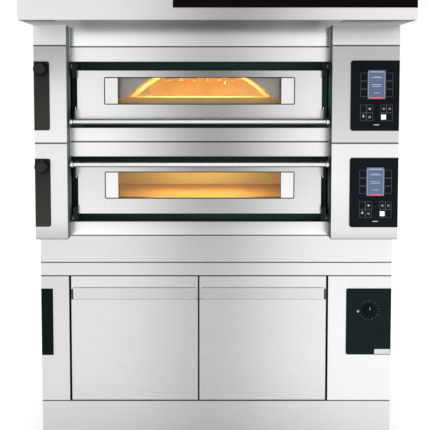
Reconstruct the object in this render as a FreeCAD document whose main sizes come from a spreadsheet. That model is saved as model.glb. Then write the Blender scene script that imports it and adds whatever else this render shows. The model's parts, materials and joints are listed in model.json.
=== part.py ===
"""A twin-deck pizza oven on a proving cabinet, with an extraction hood, as a FreeCAD document.

The origin is the middle of the floor under the oven, +Z up, the doors facing -Y and +X on the
right of a person who stands in front. Every length is in millimetres.
"""
import FreeCAD, Part
import math
import os
import re
import Sketcher

SIZES = {
    # overall
    "width": 1500, "hood_depth": 1500, "hood_overhang": 300, "rear_gap": 90, "sheet": 2,
    # heights of the stacked modules, from the floor up
    "pad_height": 12, "plinth_height": 217, "cabinet_door_height": 547, "rail_height": 57,
    "fascia_height": 117, "deck_height": 400, "hood_base_height": 83, "hood_height": 260,
    # deck front
    "left_pillar_width": 133, "right_pillar_width": 275, "pillar_depth": 100, "recess_depth": 60,
    "recess_bottom": 58, "recess_height": 280,
    # oven doors
    "door_bottom": 94, "door_height": 206, "door_gap": 30, "door_thickness": 50,
    "window_width": 800, "window_height": 110, "window_rise": 66, "window_corner": 3,
    "block_width": 56, "block_thickness": 20, "block_gap": 1.2, "glass_thickness": 8, "glass_setback": 5,
    # oven door hinges
    "hinge_forward": 15, "hinge_inset": 20, "pin_radius": 6, "fit": 0.1, "bracket_thickness": 10,
    "bracket_size": 32, "arm_clearance": 2, "arm_length": 62, "pin_seat": 15, "spring_gap": 3,
    "spring_length": 60, "spring_radius": 10, "spring_wire": 4.5, "spring_turns": 8,
    # oven door handles
    "handle_radius": 11, "handle_standoff": 50, "handle_offset": 7, "handle_end_gap": 5,
    "handle_cap_length": 12, "handle_cap_radius": 13, "handle_arm": 6, "handle_arm_height": 60,
    # baking chambers
    "chamber_width": 1000, "chamber_depth": 880, "chamber_bottom": 80, "chamber_top": 275,
    "chamber_wall": 3, "insulation": 70, "hearth_top": 115, "hearth_thickness": 18,
    "hearth_seam": 1, "hearth_radius": 440, "hearth_ledge": 12, "vault_radius": 429,
    "vault_drop": 105, "dome_hearth_top": 185, "dome_hearth_thickness": 40, "dome_duct_reach": 250,
    "dome_duct_inset": 100, "element_radius": 4, "element_pitch": 60, "element_length": 760,
    "element_drop": 10, "element_lift": 8, "element_count": 8,
    "dome_top_length": 660, "dome_top_count": 3, "dome_low_length": 560, "dome_low_count": 5,
    "first_slab": 285, "second_slab": 447, "lamp_length": 125, "lamp_width": 80, "lamp_thickness": 5,
    "lamp_offset": 89, "lamp_back": 150, "probe_radius": 3, "probe_length": 30,
    # steam valve
    "cover_plate_width": 64, "cover_plate_bottom": 53, "cover_plate_height": 283,
    "plate_thickness": 3, "plate_corner": 9, "steam_x": 30, "steam_height": 305,
    "steam_knob_radius": 30, "steam_knob_depth": 38, "rod_radius": 5, "flap_thickness": 2,
    "duct_size": 50, "duct_wall": 1.5, "duct_clearance": 2, "branch_inset": 30,
    "branch_bottom": 192, "branch_height": 48, "jog_bottom": 345, "jog_height": 50, "jog_gap": 20,
    "knob_gap": 1,
    # control side
    "panel_width": 200, "panel_bottom": 51, "panel_height": 289, "panel_thickness": 5,
    "panel_corner": 11, "display_left": 70, "display_width": 72, "display_rise": 131,
    "display_height": 118, "display_depth": 1, "board_width": 160, "board_height": 220,
    "board_thickness": 2, "relay_size": 30, "board_standoff": 12,
    "fan_size": 120, "fan_depth": 38, "fan_bore": 57, "fan_tip_gap": 2, "fan_hub": 20,
    "fan_height": 200, "fan_shaft": 4, "motor_depth": 14, "fan_blades": 7, "fan_gap": 1,
    "fan_strut": 6, "fan_chord": 11, "blade_lift": 2,
    # proving cabinet
    "cabinet_left_pillar": 119, "cabinet_right_pillar": 270, "cabinet_door_gap": 10,
    "cabinet_centre_gap": 7, "cabinet_door_thickness": 30, "cabinet_pivot_inset": 17,
    "cabinet_pivot_back": 12, "cabinet_pin_radius": 4, "cabinet_pin_length": 15,
    "door_running_gap": 2, "jamb_gap": 8, "band_bottom": 446, "band_height": 48,
    "band_depth": 8, "band_notch": 8, "grip_depth": 14, "cavity_depth": 800, "runner_count": 6,
    "runner_pitch": 80, "runner_base": 60, "runner_width": 25, "runner_length": 700,
    "left_plate_width": 50, "left_plate_bottom": 430, "left_plate_height": 289,
    "dial_plate_width": 193, "dial_plate_bottom": 432, "dial_plate_height": 288,
    "dial_x": 95, "dial_z": 626, "dial_radius": 28, "dial_depth": 22, "dial_shaft": 3,
    "thermostat_size": 50, "lamp_x": 142, "indicator_radius": 5,
    "tray_height": 40, "tray_width": 600, "tray_depth": 200, "lining_inset": 20, "lining_floor": 30,
    "pad_radius": 40, "pad_inset": 70,
    # hood
    "sign_width": 917, "sign_rise": 45, "sign_thickness": 4, "collar_radius": 150,
    "collar_height": 60, "collar_y": 250, "collar_step": 1, "collar_seat": 5, "spider_width": 24,
    "boss_radius": 45,    "boss_height": 60, "hood_hub": 50, "hood_hub_height": 50, "hood_blades": 6,
    "hood_shaft": 8, "hood_tip_gap": 6, "hood_chord": 22, "filter_margin": 4, "filter_slots": 18,
    "filter_slot": 28, "filter_lift": 60, "filter_rim": 20, "filter_ledge": 15,
    # supply inlet
    "gland_radius": 18, "gland_bore": 9, "gland_length": 40, "gland_x": 60, "gland_height": 60,
    "gland_neck": 5,
}

DOC = FreeCAD.newDocument("pizza_oven")
SHEET = DOC.addObject("Spreadsheet::Sheet", "Sizes")
NODES = []

# places that several pieces share, as expressions on the sizes
LEFT, RIGHT = "-width/2", "width/2"
FRONT = "(hood_overhang - hood_depth/2)"
PANEL = f"({FRONT} + pillar_depth)"
MOUTH = f"({PANEL} + recess_depth)"
REAR = "(hood_depth/2 - rear_gap)"
HOOD_FRONT, HOOD_REAR = "-hood_depth/2", "hood_depth/2"
OPEN_LEFT, OPEN_RIGHT = "(left_pillar_width - width/2)", "(width/2 - right_pillar_width)"
MIDDLE = "((left_pillar_width - right_pillar_width)/2)"
DOOR_LEFT, DOOR_RIGHT = f"({OPEN_LEFT} + door_gap)", f"({OPEN_RIGHT} - door_gap)"
PLINTH_TOP = "(pad_height + plinth_height)"
RAIL = f"({PLINTH_TOP} + cabinet_door_height)"
FASCIA = f"({RAIL} + rail_height)"
LOWER_DECK = f"({FASCIA} + fascia_height)"
UPPER_DECK = f"({LOWER_DECK} + deck_height)"
HOOD_BASE = f"({UPPER_DECK} + deck_height)"
HOOD = f"({HOOD_BASE} + hood_base_height)"
HOOD_TOP = f"({HOOD} + hood_height)"
DECKS = {"lower": LOWER_DECK, "upper": UPPER_DECK}
PIVOT_Y = f"({PANEL} - hinge_forward)"
CHAMBER_LEFT, CHAMBER_RIGHT = f"({MIDDLE} - chamber_width/2)", f"({MIDDLE} + chamber_width/2)"
CHAMBER_FRONT = f"({MOUTH} + sheet)"
CHAMBER_REAR = f"({CHAMBER_FRONT} + chamber_depth)"
HEARTH_Y = f"({CHAMBER_REAR} - hearth_radius - hearth_ledge)"
CABINET_LEFT, CABINET_RIGHT = "(cabinet_left_pillar - width/2)", "(width/2 - cabinet_right_pillar)"
DOORS_MIDDLE = f"(({CABINET_LEFT} + {CABINET_RIGHT})/2)"
CABINET_FLOOR = f"({PLINTH_TOP} + sheet)"
CABINET_PIVOT_Y = f"({PANEL} + cabinet_pivot_back)"
JAMB = f"({PANEL} + cabinet_door_thickness + jamb_gap)"
CAVITY = (f"({CABINET_LEFT} + lining_inset)", f"({CABINET_RIGHT} - lining_inset)")
CAVITY_FLOOR, CAVITY_REAR = f"({PLINTH_TOP} + lining_floor)", f"({JAMB} + cavity_depth)"
DIAL_X = "(width/2 - dial_x)"
HOOD_FACE = f"({HOOD_FRONT} + sign_thickness)"
FILTER_SEAT = f"({HOOD} + filter_lift)"
COLLAR_BORE = "(collar_radius - 2*sheet)"
STEAM_X = "(steam_x - width/2)"
FAN_X = "(width/2 - panel_width/2)"
GLAND_X = "(width/2 - gland_x)"
BRANCH_X = (f"{CHAMBER_LEFT} + branch_inset", f"{CHAMBER_LEFT} + branch_inset + duct_size")
STACK_X = (f"{STEAM_X} - duct_size/2", f"{STEAM_X} + duct_size/2")
TURNED = {
    "x": FreeCAD.Rotation(FreeCAD.Vector(0, 1, 0), 90),
    "y": FreeCAD.Rotation(FreeCAD.Vector(1, 0, 0), -90),
    "z": FreeCAD.Rotation(),
    "front_y": FreeCAD.Rotation(FreeCAD.Vector(1, 0, 0), 90),
    "down_z": FreeCAD.Rotation(FreeCAD.Vector(1, 0, 0), 180),
    "turned_z": FreeCAD.Rotation(FreeCAD.Vector(0, 0, 1), 180),
}


def pivot_z(deck):
    """The height of the door's hinge: over the upper door, under the lower one."""
    if deck == "upper":
        return f"({UPPER_DECK} + recess_bottom + recess_height - hinge_inset)"
    return f"({LOWER_DECK} + recess_bottom + hinge_inset)"


def sill(deck):
    """The height of a chamber's sill: level with the flat hearth, at the foot of the thick round one."""
    if deck == "upper":
        return f"({UPPER_DECK} + dome_hearth_top - dome_hearth_thickness)"
    return f"({LOWER_DECK} + hearth_top)"


def branch_z(base):
    """The height range of the steam branch behind a chamber."""
    return f"{base} + branch_bottom", f"{base} + branch_bottom + branch_height"


def fill_sheet():
    """Write every driving size into the sheet, one named cell under another."""
    for row, (name, value) in enumerate(SIZES.items(), start=1):
        SHEET.set(f"A{row}", name)
        SHEET.set(f"B{row}", str(value))
        SHEET.setAlias(f"B{row}", name)
    DOC.recompute()


def bound(expression):
    """The expression with each size's name led by the sheet's name."""
    def lead(word):
        return f"Sizes.{word.group()}" if word.group() in SIZES else word.group()
    return re.sub(r"[a-z_]+", lead, str(expression))


def bind(item, **expressions):
    """Bind properties to the sheet; a double underline stands for a dot."""
    for name, expression in expressions.items():
        item.setExpression(name.replace("__", "."), bound(expression))
    return item


def place(item, x, y, z, along="z"):
    """Stand an item at x, y, z with its own Z along one of the three axes."""
    item.Placement = FreeCAD.Placement(FreeCAD.Vector(), TURNED[along])
    return bind(item, Placement__Base__x=x, Placement__Base__y=y, Placement__Base__z=z)


def make(kind, name):
    item = DOC.addObject(kind, name)
    item.Label = name
    return item


def box(name, x, y, z):
    """A box between two expressions along each axis."""
    item = make("Part::Box", name)
    bind(item, Length=f"({x[1]}) - ({x[0]})", Width=f"({y[1]}) - ({y[0]})", Height=f"({z[1]}) - ({z[0]})")
    return place(item, x[0], y[0], z[0])


def rod(name, at, radius, length, along="y"):
    """A cylinder that starts at a point and runs along one axis."""
    item = bind(make("Part::Cylinder", name), Radius=radius, Height=length)
    return place(item, *at, along)


def cut(name, base, tools):
    """The base with every tool taken away."""
    item = make("Part::Cut", name)
    item.Base = base
    item.Tool = tools[0] if len(tools) == 1 else fuse(f"{name}_holes", tools)
    return item


def fuse(name, pieces):
    item = make("Part::MultiFuse", name)
    item.Shapes = pieces
    return item


def common(name, first, second):
    item = make("Part::MultiCommon", name)
    item.Shapes = [first, second]
    return item


def group(name, pieces):
    """Separate solids that make one sub-part, such as screwed panels or identical pieces."""
    item = make("Part::Compound", name)
    item.Links = pieces
    return item


def keep(item):
    """Count an item as a finished sub-part, written to a file named after its label."""
    NODES.append(item)
    return item


def panels(name, extents):
    """A sub-part of flat sheets, given as a name and three ranges for each."""
    return group(name, [box(f"{name}_{part}", *ranges) for part, ranges in extents.items()])


def body_at(name, x, y, z):
    return place(make("PartDesign::Body", name), x, y, z)


def sketch_on(body, role, name):
    """A sketch on one of the body's own origin planes."""
    plane = [item for item in body.Origin.OriginFeatures if item.Role == role][0]
    sketch = body.newObject("Sketcher::SketchObject", name)
    sketch.AttachmentSupport = (plane, "")
    sketch.MapMode = "FlatFace"
    return sketch


def hold(sketch, kind, *arguments):
    """Add a constraint whose value is the last argument, an expression on the sizes."""
    number = sketch.addConstraint(Sketcher.Constraint(kind, *arguments[:-1], 1.0))
    sketch.setExpression(f"Constraints[{number}]", bound(arguments[-1]))


def polygon(sketch, points):
    """A closed outline whose corners are pairs of expressions, measured from the sketch's origin."""
    first = sketch.GeometryCount
    turn = 2 * math.pi / len(points)
    start = [FreeCAD.Vector(math.cos(turn * n), math.sin(turn * n), 0) for n in range(len(points))]
    for one, two in zip(start, start[1:] + start[:1]):
        sketch.addGeometry(Part.LineSegment(one, two), False)
    for side in range(len(points)):
        after = first + (side + 1) % len(points)
        sketch.addConstraint(Sketcher.Constraint("Coincident", first + side, 2, after, 1))
    for side, (across, up) in enumerate(points):
        hold(sketch, "DistanceX", -1, 1, first + side, 1, across)
        hold(sketch, "DistanceY", -1, 1, first + side, 1, up)


def rectangle(left, bottom, wide, high):
    """The corners of an upright rectangle."""
    right, top = f"({left}) + ({wide})", f"({bottom}) + ({high})"
    return [(left, bottom), (right, bottom), (right, top), (left, top)]


def pad(body, role, points, length, backwards=False):
    """A plate of the given outline on one of the body's planes."""
    sketch = sketch_on(body, role, f"{body.Label}_outline")
    polygon(sketch, points)
    plate = body.newObject("PartDesign::Pad", f"{body.Label}_pad")
    plate.Profile = sketch
    plate.Reversed = backwards
    bind(plate, Length=length)
    DOC.recompute()
    return plate


def pocket(body, role, points, depth=None, backwards=False, island=None):
    """An opening of the given outline, right through where no depth is given; an island stays."""
    before = body.Shape.Volume
    sketch = sketch_on(body, role, f"{body.Label}_opening")
    polygon(sketch, points)
    if island:
        polygon(sketch, island)
    opening = body.newObject("PartDesign::Pocket", f"{body.Label}_pocket")
    opening.Profile = sketch
    opening.Reversed = backwards
    if depth is None:
        opening.Type = "ThroughAll"
        opening.Midplane = True
    else:
        bind(opening, Length=depth)
    DOC.recompute()
    if not body.Shape.Volume < before:
        raise RuntimeError(f"{body.Label}: the opening removes nothing")
    return opening


def round_edges(body, base, radius, chosen):
    """Round the edges of a body's feature that a test picks by their middle point."""
    edges = []
    for number, edge in enumerate(base.Shape.Edges, start=1):
        middle = edge.CenterOfMass
        if chosen(middle, edge):
            edges.append(f"Edge{number}")
    item = body.newObject("PartDesign::Fillet", f"{body.Label}_fillet")
    item.Base = (base, edges)
    bind(item, Radius=radius)
    DOC.recompute()
    return item


def along_depth(edge):
    """Whether an edge runs straight along Y."""
    ends = [vertex.Point for vertex in edge.Vertexes]
    return len(ends) == 2 and (ends[1] - ends[0]).cross(FreeCAD.Vector(0, 1, 0)).Length < 1e-6


# ---------------------------------------------------------------- one deck's casing and front

def deck_casing(deck, base):
    """Sheets round the deck; the rear one is pierced for the valve rod, the flue and the fan."""
    name = f"{deck}_casing"
    top = f"{base} + deck_height"
    inner = (f"{LEFT} + sheet", f"{RIGHT} - sheet")
    level = (f"{base} + sheet", f"{top} - sheet")
    sides, flat = (PANEL, f"{REAR} - sheet"), (f"{PANEL} + sheet", f"{REAR} - sheet")
    rear = box(f"{name}_rear_sheet", (LEFT, RIGHT), (f"{REAR} - sheet", REAR), (base, top))
    holes = [
        rod(f"{name}_rod_hole", (STEAM_X, f"{REAR} - 2*sheet", f"{base} + steam_height"),
            "rod_radius + fit", "3*sheet"),
        rod(f"{name}_fan_hole", (FAN_X, f"{REAR} - 2*sheet", f"{base} + fan_height"), "fan_bore", "3*sheet"),
        box(f"{name}_flue_hole", BRANCH_X, (f"{REAR} - 2*sheet", f"{REAR} + sheet"), branch_z(base)),
    ]
    if deck == "lower":
        holes.append(rod(f"{name}_cable_hole", (GLAND_X, f"{REAR} - 2*sheet", f"{base} + gland_height"),
                         "gland_radius - gland_neck", "3*sheet"))
    keep(group(name, [
        box(f"{name}_floor", inner, flat, (base, level[0])),
        box(f"{name}_roof", inner, flat, (level[1], top)),
        box(f"{name}_left", (LEFT, inner[0]), sides, (base, top)),
        box(f"{name}_right", (inner[1], RIGHT), sides, (base, top)),
        cut(f"{name}_rear", rear, holes),
    ]))


def deck_front(deck, base):
    """The recessed centre: strips above and below the door, shelves and the chamber's mouth."""
    name = f"{deck}_front_frame"
    low, high = f"{base} + recess_bottom", f"{base} + recess_bottom + recess_height"
    front = (PANEL, f"{PANEL} + sheet")
    shelf = (f"{PANEL} + sheet", MOUTH)
    mouth = (MOUTH, f"{MOUTH} + sheet")
    opening = (f"{MIDDLE} - chamber_width/2", f"{MIDDLE} + chamber_width/2")
    floor, roof = sill(deck), f"{base} + chamber_top"
    keep(panels(name, {
        "bottom_strip": ((OPEN_LEFT, OPEN_RIGHT), front, (base, low)),
        "top_strip": ((OPEN_LEFT, OPEN_RIGHT), front, (high, f"{base} + deck_height")),
        "bottom_shelf": ((OPEN_LEFT, OPEN_RIGHT), shelf, (f"{low} - sheet", low)),
        "top_shelf": ((OPEN_LEFT, OPEN_RIGHT), shelf, (high, f"{high} + sheet")),
        "mouth_left": ((OPEN_LEFT, opening[0]), mouth, (f"{low} - sheet", f"{high} + sheet")),
        "mouth_right": ((opening[1], OPEN_RIGHT), mouth, (f"{low} - sheet", f"{high} + sheet")),
        "mouth_sill": (opening, mouth, (f"{low} - sheet", floor)),
        "mouth_lintel": (opening, mouth, (roof, f"{high} + sheet")),
    }))


def deck_pillar(deck, base, side):
    """A box of sheets that stands in front of the casing beside the door."""
    name = f"{deck}_{side}_pillar"
    outer, inner = (LEFT, OPEN_LEFT) if side == "left" else (RIGHT, OPEN_RIGHT)
    step = 1 if side == "left" else -1
    across = sorted_pair(outer, inner, step)
    hollow = sorted_pair(f"{outer} + {step}*sheet", inner, step)
    top = f"{base} + deck_height"
    level = (f"{base} + sheet", f"{top} - sheet")
    face = box(f"{name}_face_sheet", across, (FRONT, f"{FRONT} + sheet"), (base, top))
    if side == "left":
        hole = rod(f"{name}_rod_hole", (STEAM_X, f"{FRONT} - sheet", f"{base} + steam_height"),
                   "rod_radius + fit", "3*sheet")
        face = cut(f"{name}_face", face, [hole])
    cheek = box(f"{name}_cheek_sheet", sorted_pair(f"{inner} - {step}*sheet", inner, step),
                (f"{FRONT} + sheet", MOUTH), level)
    pin = rod(f"{name}_pin_hole", (f"{inner} - 3*sheet", PIVOT_Y, pivot_z(deck)), "pin_radius + fit",
              "6*sheet", "x")
    keep(group(name, [
        face,
        cut(f"{name}_cheek", cheek, [pin]),
        box(f"{name}_outer", sorted_pair(outer, f"{outer} + {step}*sheet", step),
            (f"{FRONT} + sheet", PANEL), (base, top)),
        box(f"{name}_floor", hollow, (f"{FRONT} + sheet", f"{PANEL} + sheet"), (base, level[0])),
        box(f"{name}_roof", hollow, (f"{FRONT} + sheet", f"{PANEL} + sheet"), (level[1], top)),
    ]))


def sorted_pair(one, two, step):
    return (one, two) if step > 0 else (two, one)


# ---------------------------------------------------------------- oven doors

def oven_door(deck, base):
    """The folded steel skin of an oven door, with a window opening right through it."""
    wide = f"({DOOR_RIGHT} - {DOOR_LEFT})"
    door = body_at(f"{deck}_door_skin", DOOR_LEFT, f"{PANEL} + door_thickness", f"{base} + door_bottom")
    window_left = f"({wide} - window_width)/2"
    pad(door, "XZ_Plane", rectangle("0", "0", wide, "door_height"), "door_thickness")
    pocket(door, "XZ_Plane", rectangle(window_left, "window_rise", "window_width", "window_height"))
    inside = rectangle("sheet", "sheet", f"{wide} - 2*sheet", "door_height - 2*sheet")
    tunnel = rectangle(f"{window_left} - sheet", "window_rise - sheet", "window_width + 2*sheet",
                       "window_height + 2*sheet")
    hollow = pocket(door, "XZ_Plane", inside, "door_thickness - sheet", True, tunnel)
    bounds = hollow.Shape.BoundBox
    round_edges(door, hollow, "window_corner", lambda middle, edge: (
        along_depth(edge) and edge.Length > bounds.YLength - 0.1 and 1 < middle.x < bounds.XMax - 1))
    keep(door)
    span = (f"{DOOR_LEFT} + {window_left}", f"{DOOR_LEFT} + {window_left} + window_width")
    level = (f"{base} + door_bottom + window_rise", f"{base} + door_bottom + window_rise + window_height")
    keep(box(f"{deck}_door_glass", (f"{span[0]} + block_width", f"{span[1]} - block_width"),
             (f"{PANEL} + glass_setback", f"{PANEL} + glass_setback + glass_thickness"), level))
    thick = (PANEL, f"{PANEL} + block_thickness")
    inset = (f"{level[0]} + block_gap", f"{level[1]} - block_gap")
    keep(panels(f"{deck}_window_blocks", {
        "left": ((f"{span[0]} + block_gap", f"{span[0]} + block_width"), thick, inset),
        "right": ((f"{span[1]} - block_width", f"{span[1]} - block_gap"), thick, inset),
    }))


def door_handle(deck, base):
    """A round bar across the door, with end caps and two side arms back to the door."""
    name = f"{deck}_door_handle"
    y = f"({PANEL} - handle_standoff)"
    if deck == "upper":
        z = f"({base} + door_bottom - handle_offset)"
        arm_z = (f"{z} - handle_radius", f"{z} - handle_radius + handle_arm_height")
    else:
        z = f"({base} + door_bottom + door_height + handle_offset)"
        arm_z = (f"{z} + handle_radius - handle_arm_height", f"{z} + handle_radius")
    ends = (f"({OPEN_LEFT} + handle_end_gap)", f"({OPEN_RIGHT} - handle_end_gap)")
    arm_y = (y, f"{PANEL} + door_thickness/2")
    keep(fuse(name, [
        rod(f"{name}_bar", (ends[0], y, z), "handle_radius", f"{ends[1]} - {ends[0]}", "x"),
        rod(f"{name}_left_cap", (ends[0], y, z), "handle_cap_radius", "handle_cap_length", "x"),
        rod(f"{name}_right_cap", (f"{ends[1]} - handle_cap_length", y, z), "handle_cap_radius",
            "handle_cap_length", "x"),
        box(f"{name}_left_arm", (f"{DOOR_LEFT} - handle_arm", DOOR_LEFT), arm_y, arm_z),
        box(f"{name}_right_arm", (DOOR_RIGHT, f"{DOOR_RIGHT} + handle_arm"), arm_y, arm_z),
    ]))


def hinge_parts(deck):
    """Both sides of one door's hinge: for each, the inner wall, the outward step and the door's end."""
    return (("left", OPEN_LEFT, 1, DOOR_LEFT), ("right", OPEN_RIGHT, -1, DOOR_RIGHT))


def door_hinges(deck):
    """The hinge arms that turn with the door; each carries its own pin."""
    name = f"{deck}_door_hinges"
    z = pivot_z(deck)
    reach = (f"{z} - arm_length + pin_seat", f"{z} + pin_seat") if deck == "upper" else \
        (f"{z} - pin_seat", f"{z} + arm_length - pin_seat")
    arms = []
    for side, wall, step, end in hinge_parts(deck):
        outer = f"{wall} + {step}*(bracket_thickness + arm_clearance)"
        tip = f"{wall} - {step}*(sheet + spring_length + spring_gap)"
        plate = box(f"{name}_{side}_plate", sorted_pair(outer, end, step),
                    (f"{PIVOT_Y} - pin_seat", f"{PIVOT_Y} + arm_length"), reach)
        start, finish = (tip, outer) if step > 0 else (outer, tip)
        pin = rod(f"{name}_{side}_pin", (start, PIVOT_Y, z), "pin_radius", f"({finish}) - ({start})", "x")
        arms.append(fuse(f"{name}_{side}", [plate, pin]))
    keep(group(name, arms))


def hinge_brackets():
    """The bushed blocks on the pillars' inner walls that carry the hinge pins."""
    blocks = []
    for deck in DECKS:
        z = pivot_z(deck)
        for side, wall, step, _ in hinge_parts(deck):
            name = f"hinge_bracket_{deck}_{side}"
            across = sorted_pair(wall, f"{wall} + {step}*bracket_thickness", step)
            block = box(f"{name}_block", across,
                        (f"{PIVOT_Y} - bracket_size/2", f"{PIVOT_Y} + bracket_size/2"),
                        (f"{z} - bracket_size/2", f"{z} + bracket_size/2"))
            bore = rod(f"{name}_bore", (f"{across[0]} - sheet", PIVOT_Y, z), "pin_radius + fit",
                       "bracket_thickness + 2*sheet", "x")
            blocks.append(cut(name, block, [bore]))
    keep(group("door_hinge_brackets", blocks))


def hinge_springs():
    """Torsion springs round the hinge pins, inside the pillars; they carry the doors' weight."""
    coils = []
    for deck in DECKS:
        z = pivot_z(deck)
        for side, wall, step, _ in hinge_parts(deck):
            name = f"door_spring_{deck}_{side}"
            start = f"{wall} - sheet - spring_length" if step > 0 else f"{wall} + sheet + spring_gap"
            helix = bind(make("Part::Helix", f"{name}_path"), Radius="spring_radius",
                         Pitch="(spring_length - 2*spring_gap)/spring_turns",
                         Height="spring_length - 2*spring_gap")
            place(helix, start, PIVOT_Y, z, "x")
            wire = bind(make("Part::Circle", f"{name}_section"), Radius="spring_wire/2")
            place(wire, start, PIVOT_Y, f"{z} - spring_radius", "y")
            coil = make("Part::Sweep", name)
            coil.Sections = [wire]
            coil.Spine = helix
            coil.Solid = True
            coil.Frenet = True
            coils.append(coil)
    keep(group("door_springs", coils))


# ---------------------------------------------------------------- baking chambers

def chamber(deck, base):
    """One chamber's flat steel walls; the lower one has ledges that carry its hearth."""
    name = f"{deck}_chamber"
    low, high = f"{base} + chamber_bottom", f"{base} + chamber_top"
    inside = (CHAMBER_FRONT, CHAMBER_REAR)
    outside = (CHAMBER_FRONT, f"{CHAMBER_REAR} + chamber_wall")
    across = (f"{CHAMBER_LEFT} - chamber_wall", f"{CHAMBER_RIGHT} + chamber_wall")
    ledge = (low, f"{base} + hearth_top - hearth_thickness")
    rear = box(f"{name}_rear_sheet", across, (CHAMBER_REAR, outside[1]), (low, high))
    stub = box(f"{name}_stub_hole", BRANCH_X, (CHAMBER_REAR, outside[1]), branch_z(base))
    walls = [
        box(f"{name}_floor", across, outside, (f"{low} - chamber_wall", low)),
        box(f"{name}_roof", across, outside, (high, f"{high} + chamber_wall")),
        box(f"{name}_left", (across[0], CHAMBER_LEFT), inside, (low, high)),
        box(f"{name}_right", (CHAMBER_RIGHT, across[1]), inside, (low, high)),
        cut(f"{name}_rear", rear, [stub]),
    ]
    if deck == "lower":
        span = (CHAMBER_LEFT, CHAMBER_RIGHT)
        for end, across in (("front", (CHAMBER_FRONT, f"{CHAMBER_FRONT} + hearth_ledge")),
                            ("rear", (f"{CHAMBER_REAR} - hearth_ledge", CHAMBER_REAR))):
            walls.append(box(f"{name}_{end}_ledge", span, across, ledge))
    return walls


def lower_hearth():
    """Three refractory slabs side by side."""
    seams = (CHAMBER_LEFT, f"{CHAMBER_LEFT} + first_slab", f"{CHAMBER_LEFT} + first_slab + second_slab",
             f"{CHAMBER_RIGHT} + hearth_seam")
    level = (f"{LOWER_DECK} + hearth_top - hearth_thickness", f"{LOWER_DECK} + hearth_top")
    return [box(f"lower_hearth_{side}", (seams[n], f"{seams[n + 1]} - hearth_seam"),
                (CHAMBER_FRONT, CHAMBER_REAR), level)
            for n, side in enumerate(("left", "middle", "right"))]


def round_plan(name, radius, half, bottom, height):
    """A disc joined to a straight front, the plan of the round chamber and of its hearth."""
    disc = rod(f"{name}_disc", (MIDDLE, HEARTH_Y, bottom), radius, height, "z")
    front = box(f"{name}_front", (f"{MIDDLE} - {half}", f"{MIDDLE} + {half}"),
                (CHAMBER_FRONT, HEARTH_Y), (bottom, f"{bottom} + {height}"))
    return fuse(name, [disc, front])


def upper_hearth():
    """A round refractory hearth in two halves."""
    level = sill("upper")
    halves = []
    for side, across in (("left", (CHAMBER_LEFT, f"{MIDDLE} - hearth_seam/2")),
                         ("right", (f"{MIDDLE} + hearth_seam/2", CHAMBER_RIGHT))):
        name = f"upper_hearth_{side}"
        plan = round_plan(f"{name}_plan", "hearth_radius - hearth_seam", "(hearth_radius - hearth_seam)",
                          level, "dome_hearth_thickness")
        half = box(f"{name}_half", across, (CHAMBER_FRONT, CHAMBER_REAR),
                   (level, f"{level} + dome_hearth_thickness"))
        halves.append(common(name, plan, half))
    return halves


def upper_dome():
    """A refractory lining with a vaulted roof, a round rear wall and a seat for the round hearth."""
    low, high = f"({UPPER_DECK} + chamber_bottom)", f"({UPPER_DECK} + chamber_top)"
    seat = sill("upper")
    block = box("upper_dome_block", (CHAMBER_LEFT, CHAMBER_RIGHT), (CHAMBER_FRONT, CHAMBER_REAR), (low, high))
    under = round_plan("upper_dome_under", "hearth_radius - hearth_ledge", "(hearth_radius - hearth_ledge)",
                       f"({low} - sheet)", f"({seat} - {low} + sheet)")
    hearth = round_plan("upper_dome_seat", "hearth_radius", "hearth_radius", seat, "dome_hearth_thickness")
    above = round_plan("upper_dome_plan", "hearth_radius", "hearth_radius", seat,
                       f"({high} - {seat} + sheet)")
    vault = rod("upper_dome_vault", (MIDDLE, f"{CHAMBER_FRONT} - sheet", f"{UPPER_DECK} - vault_drop"),
                "vault_radius", "chamber_depth + 2*sheet")
    turn = (f"({CHAMBER_REAR} - dome_duct_inset - duct_size)", f"({CHAMBER_REAR} - dome_duct_inset)")
    stub = box("upper_dome_stub", BRANCH_X, (turn[0], f"{CHAMBER_REAR} + sheet"), branch_z(UPPER_DECK))
    duct = box("upper_dome_duct", (BRANCH_X[0], f"{MIDDLE} - dome_duct_reach"), turn, branch_z(UPPER_DECK))
    keep(cut("upper_dome", block, [under, hearth, common("upper_dome_room", above, vault), stub, duct]))


def hairpins(name, count, y, z, length):
    """Tubular elements, each two straight legs and a half-round bend at the front."""
    pieces = []
    for number in range(count):
        left = f"({MIDDLE} + element_pitch*({2 * number - count} + 0.5))"
        parts = [rod(f"{name}_{number}_{leg}", (f"{left} + {leg}*element_pitch", y, z), "element_radius",
                     length) for leg in range(2)]
        bend = bind(make("Part::Torus", f"{name}_{number}_bend"), Radius1="element_pitch/2",
                    Radius2="element_radius")
        bend.Angle3 = 180
        place(bend, f"{left} + element_pitch/2", y, z, "turned_z")
        pieces.append(fuse(f"{name}_{number}", parts + [bend]))
    return pieces


def elements(deck, base):
    """Heating elements over and under the baking space."""
    heights = {"top": f"{base} + chamber_top - element_drop",
               "bottom": f"{base} + chamber_bottom + element_lift"}
    if deck == "lower":
        middle = f"({CHAMBER_FRONT} + chamber_depth/2)"
        rows = {"top": ("element_count", "element_length"), "bottom": ("element_count", "element_length")}
    else:
        middle = HEARTH_Y
        rows = {"top": ("dome_top_count", "dome_top_length"), "bottom": ("dome_low_count", "dome_low_length")}
    pieces = []
    for row, (count, length) in rows.items():
        pieces += hairpins(f"{deck}_{row}_element", SIZES[count], f"({middle} - {length}/2)",
                           heights[row], length)
    return pieces


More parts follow.
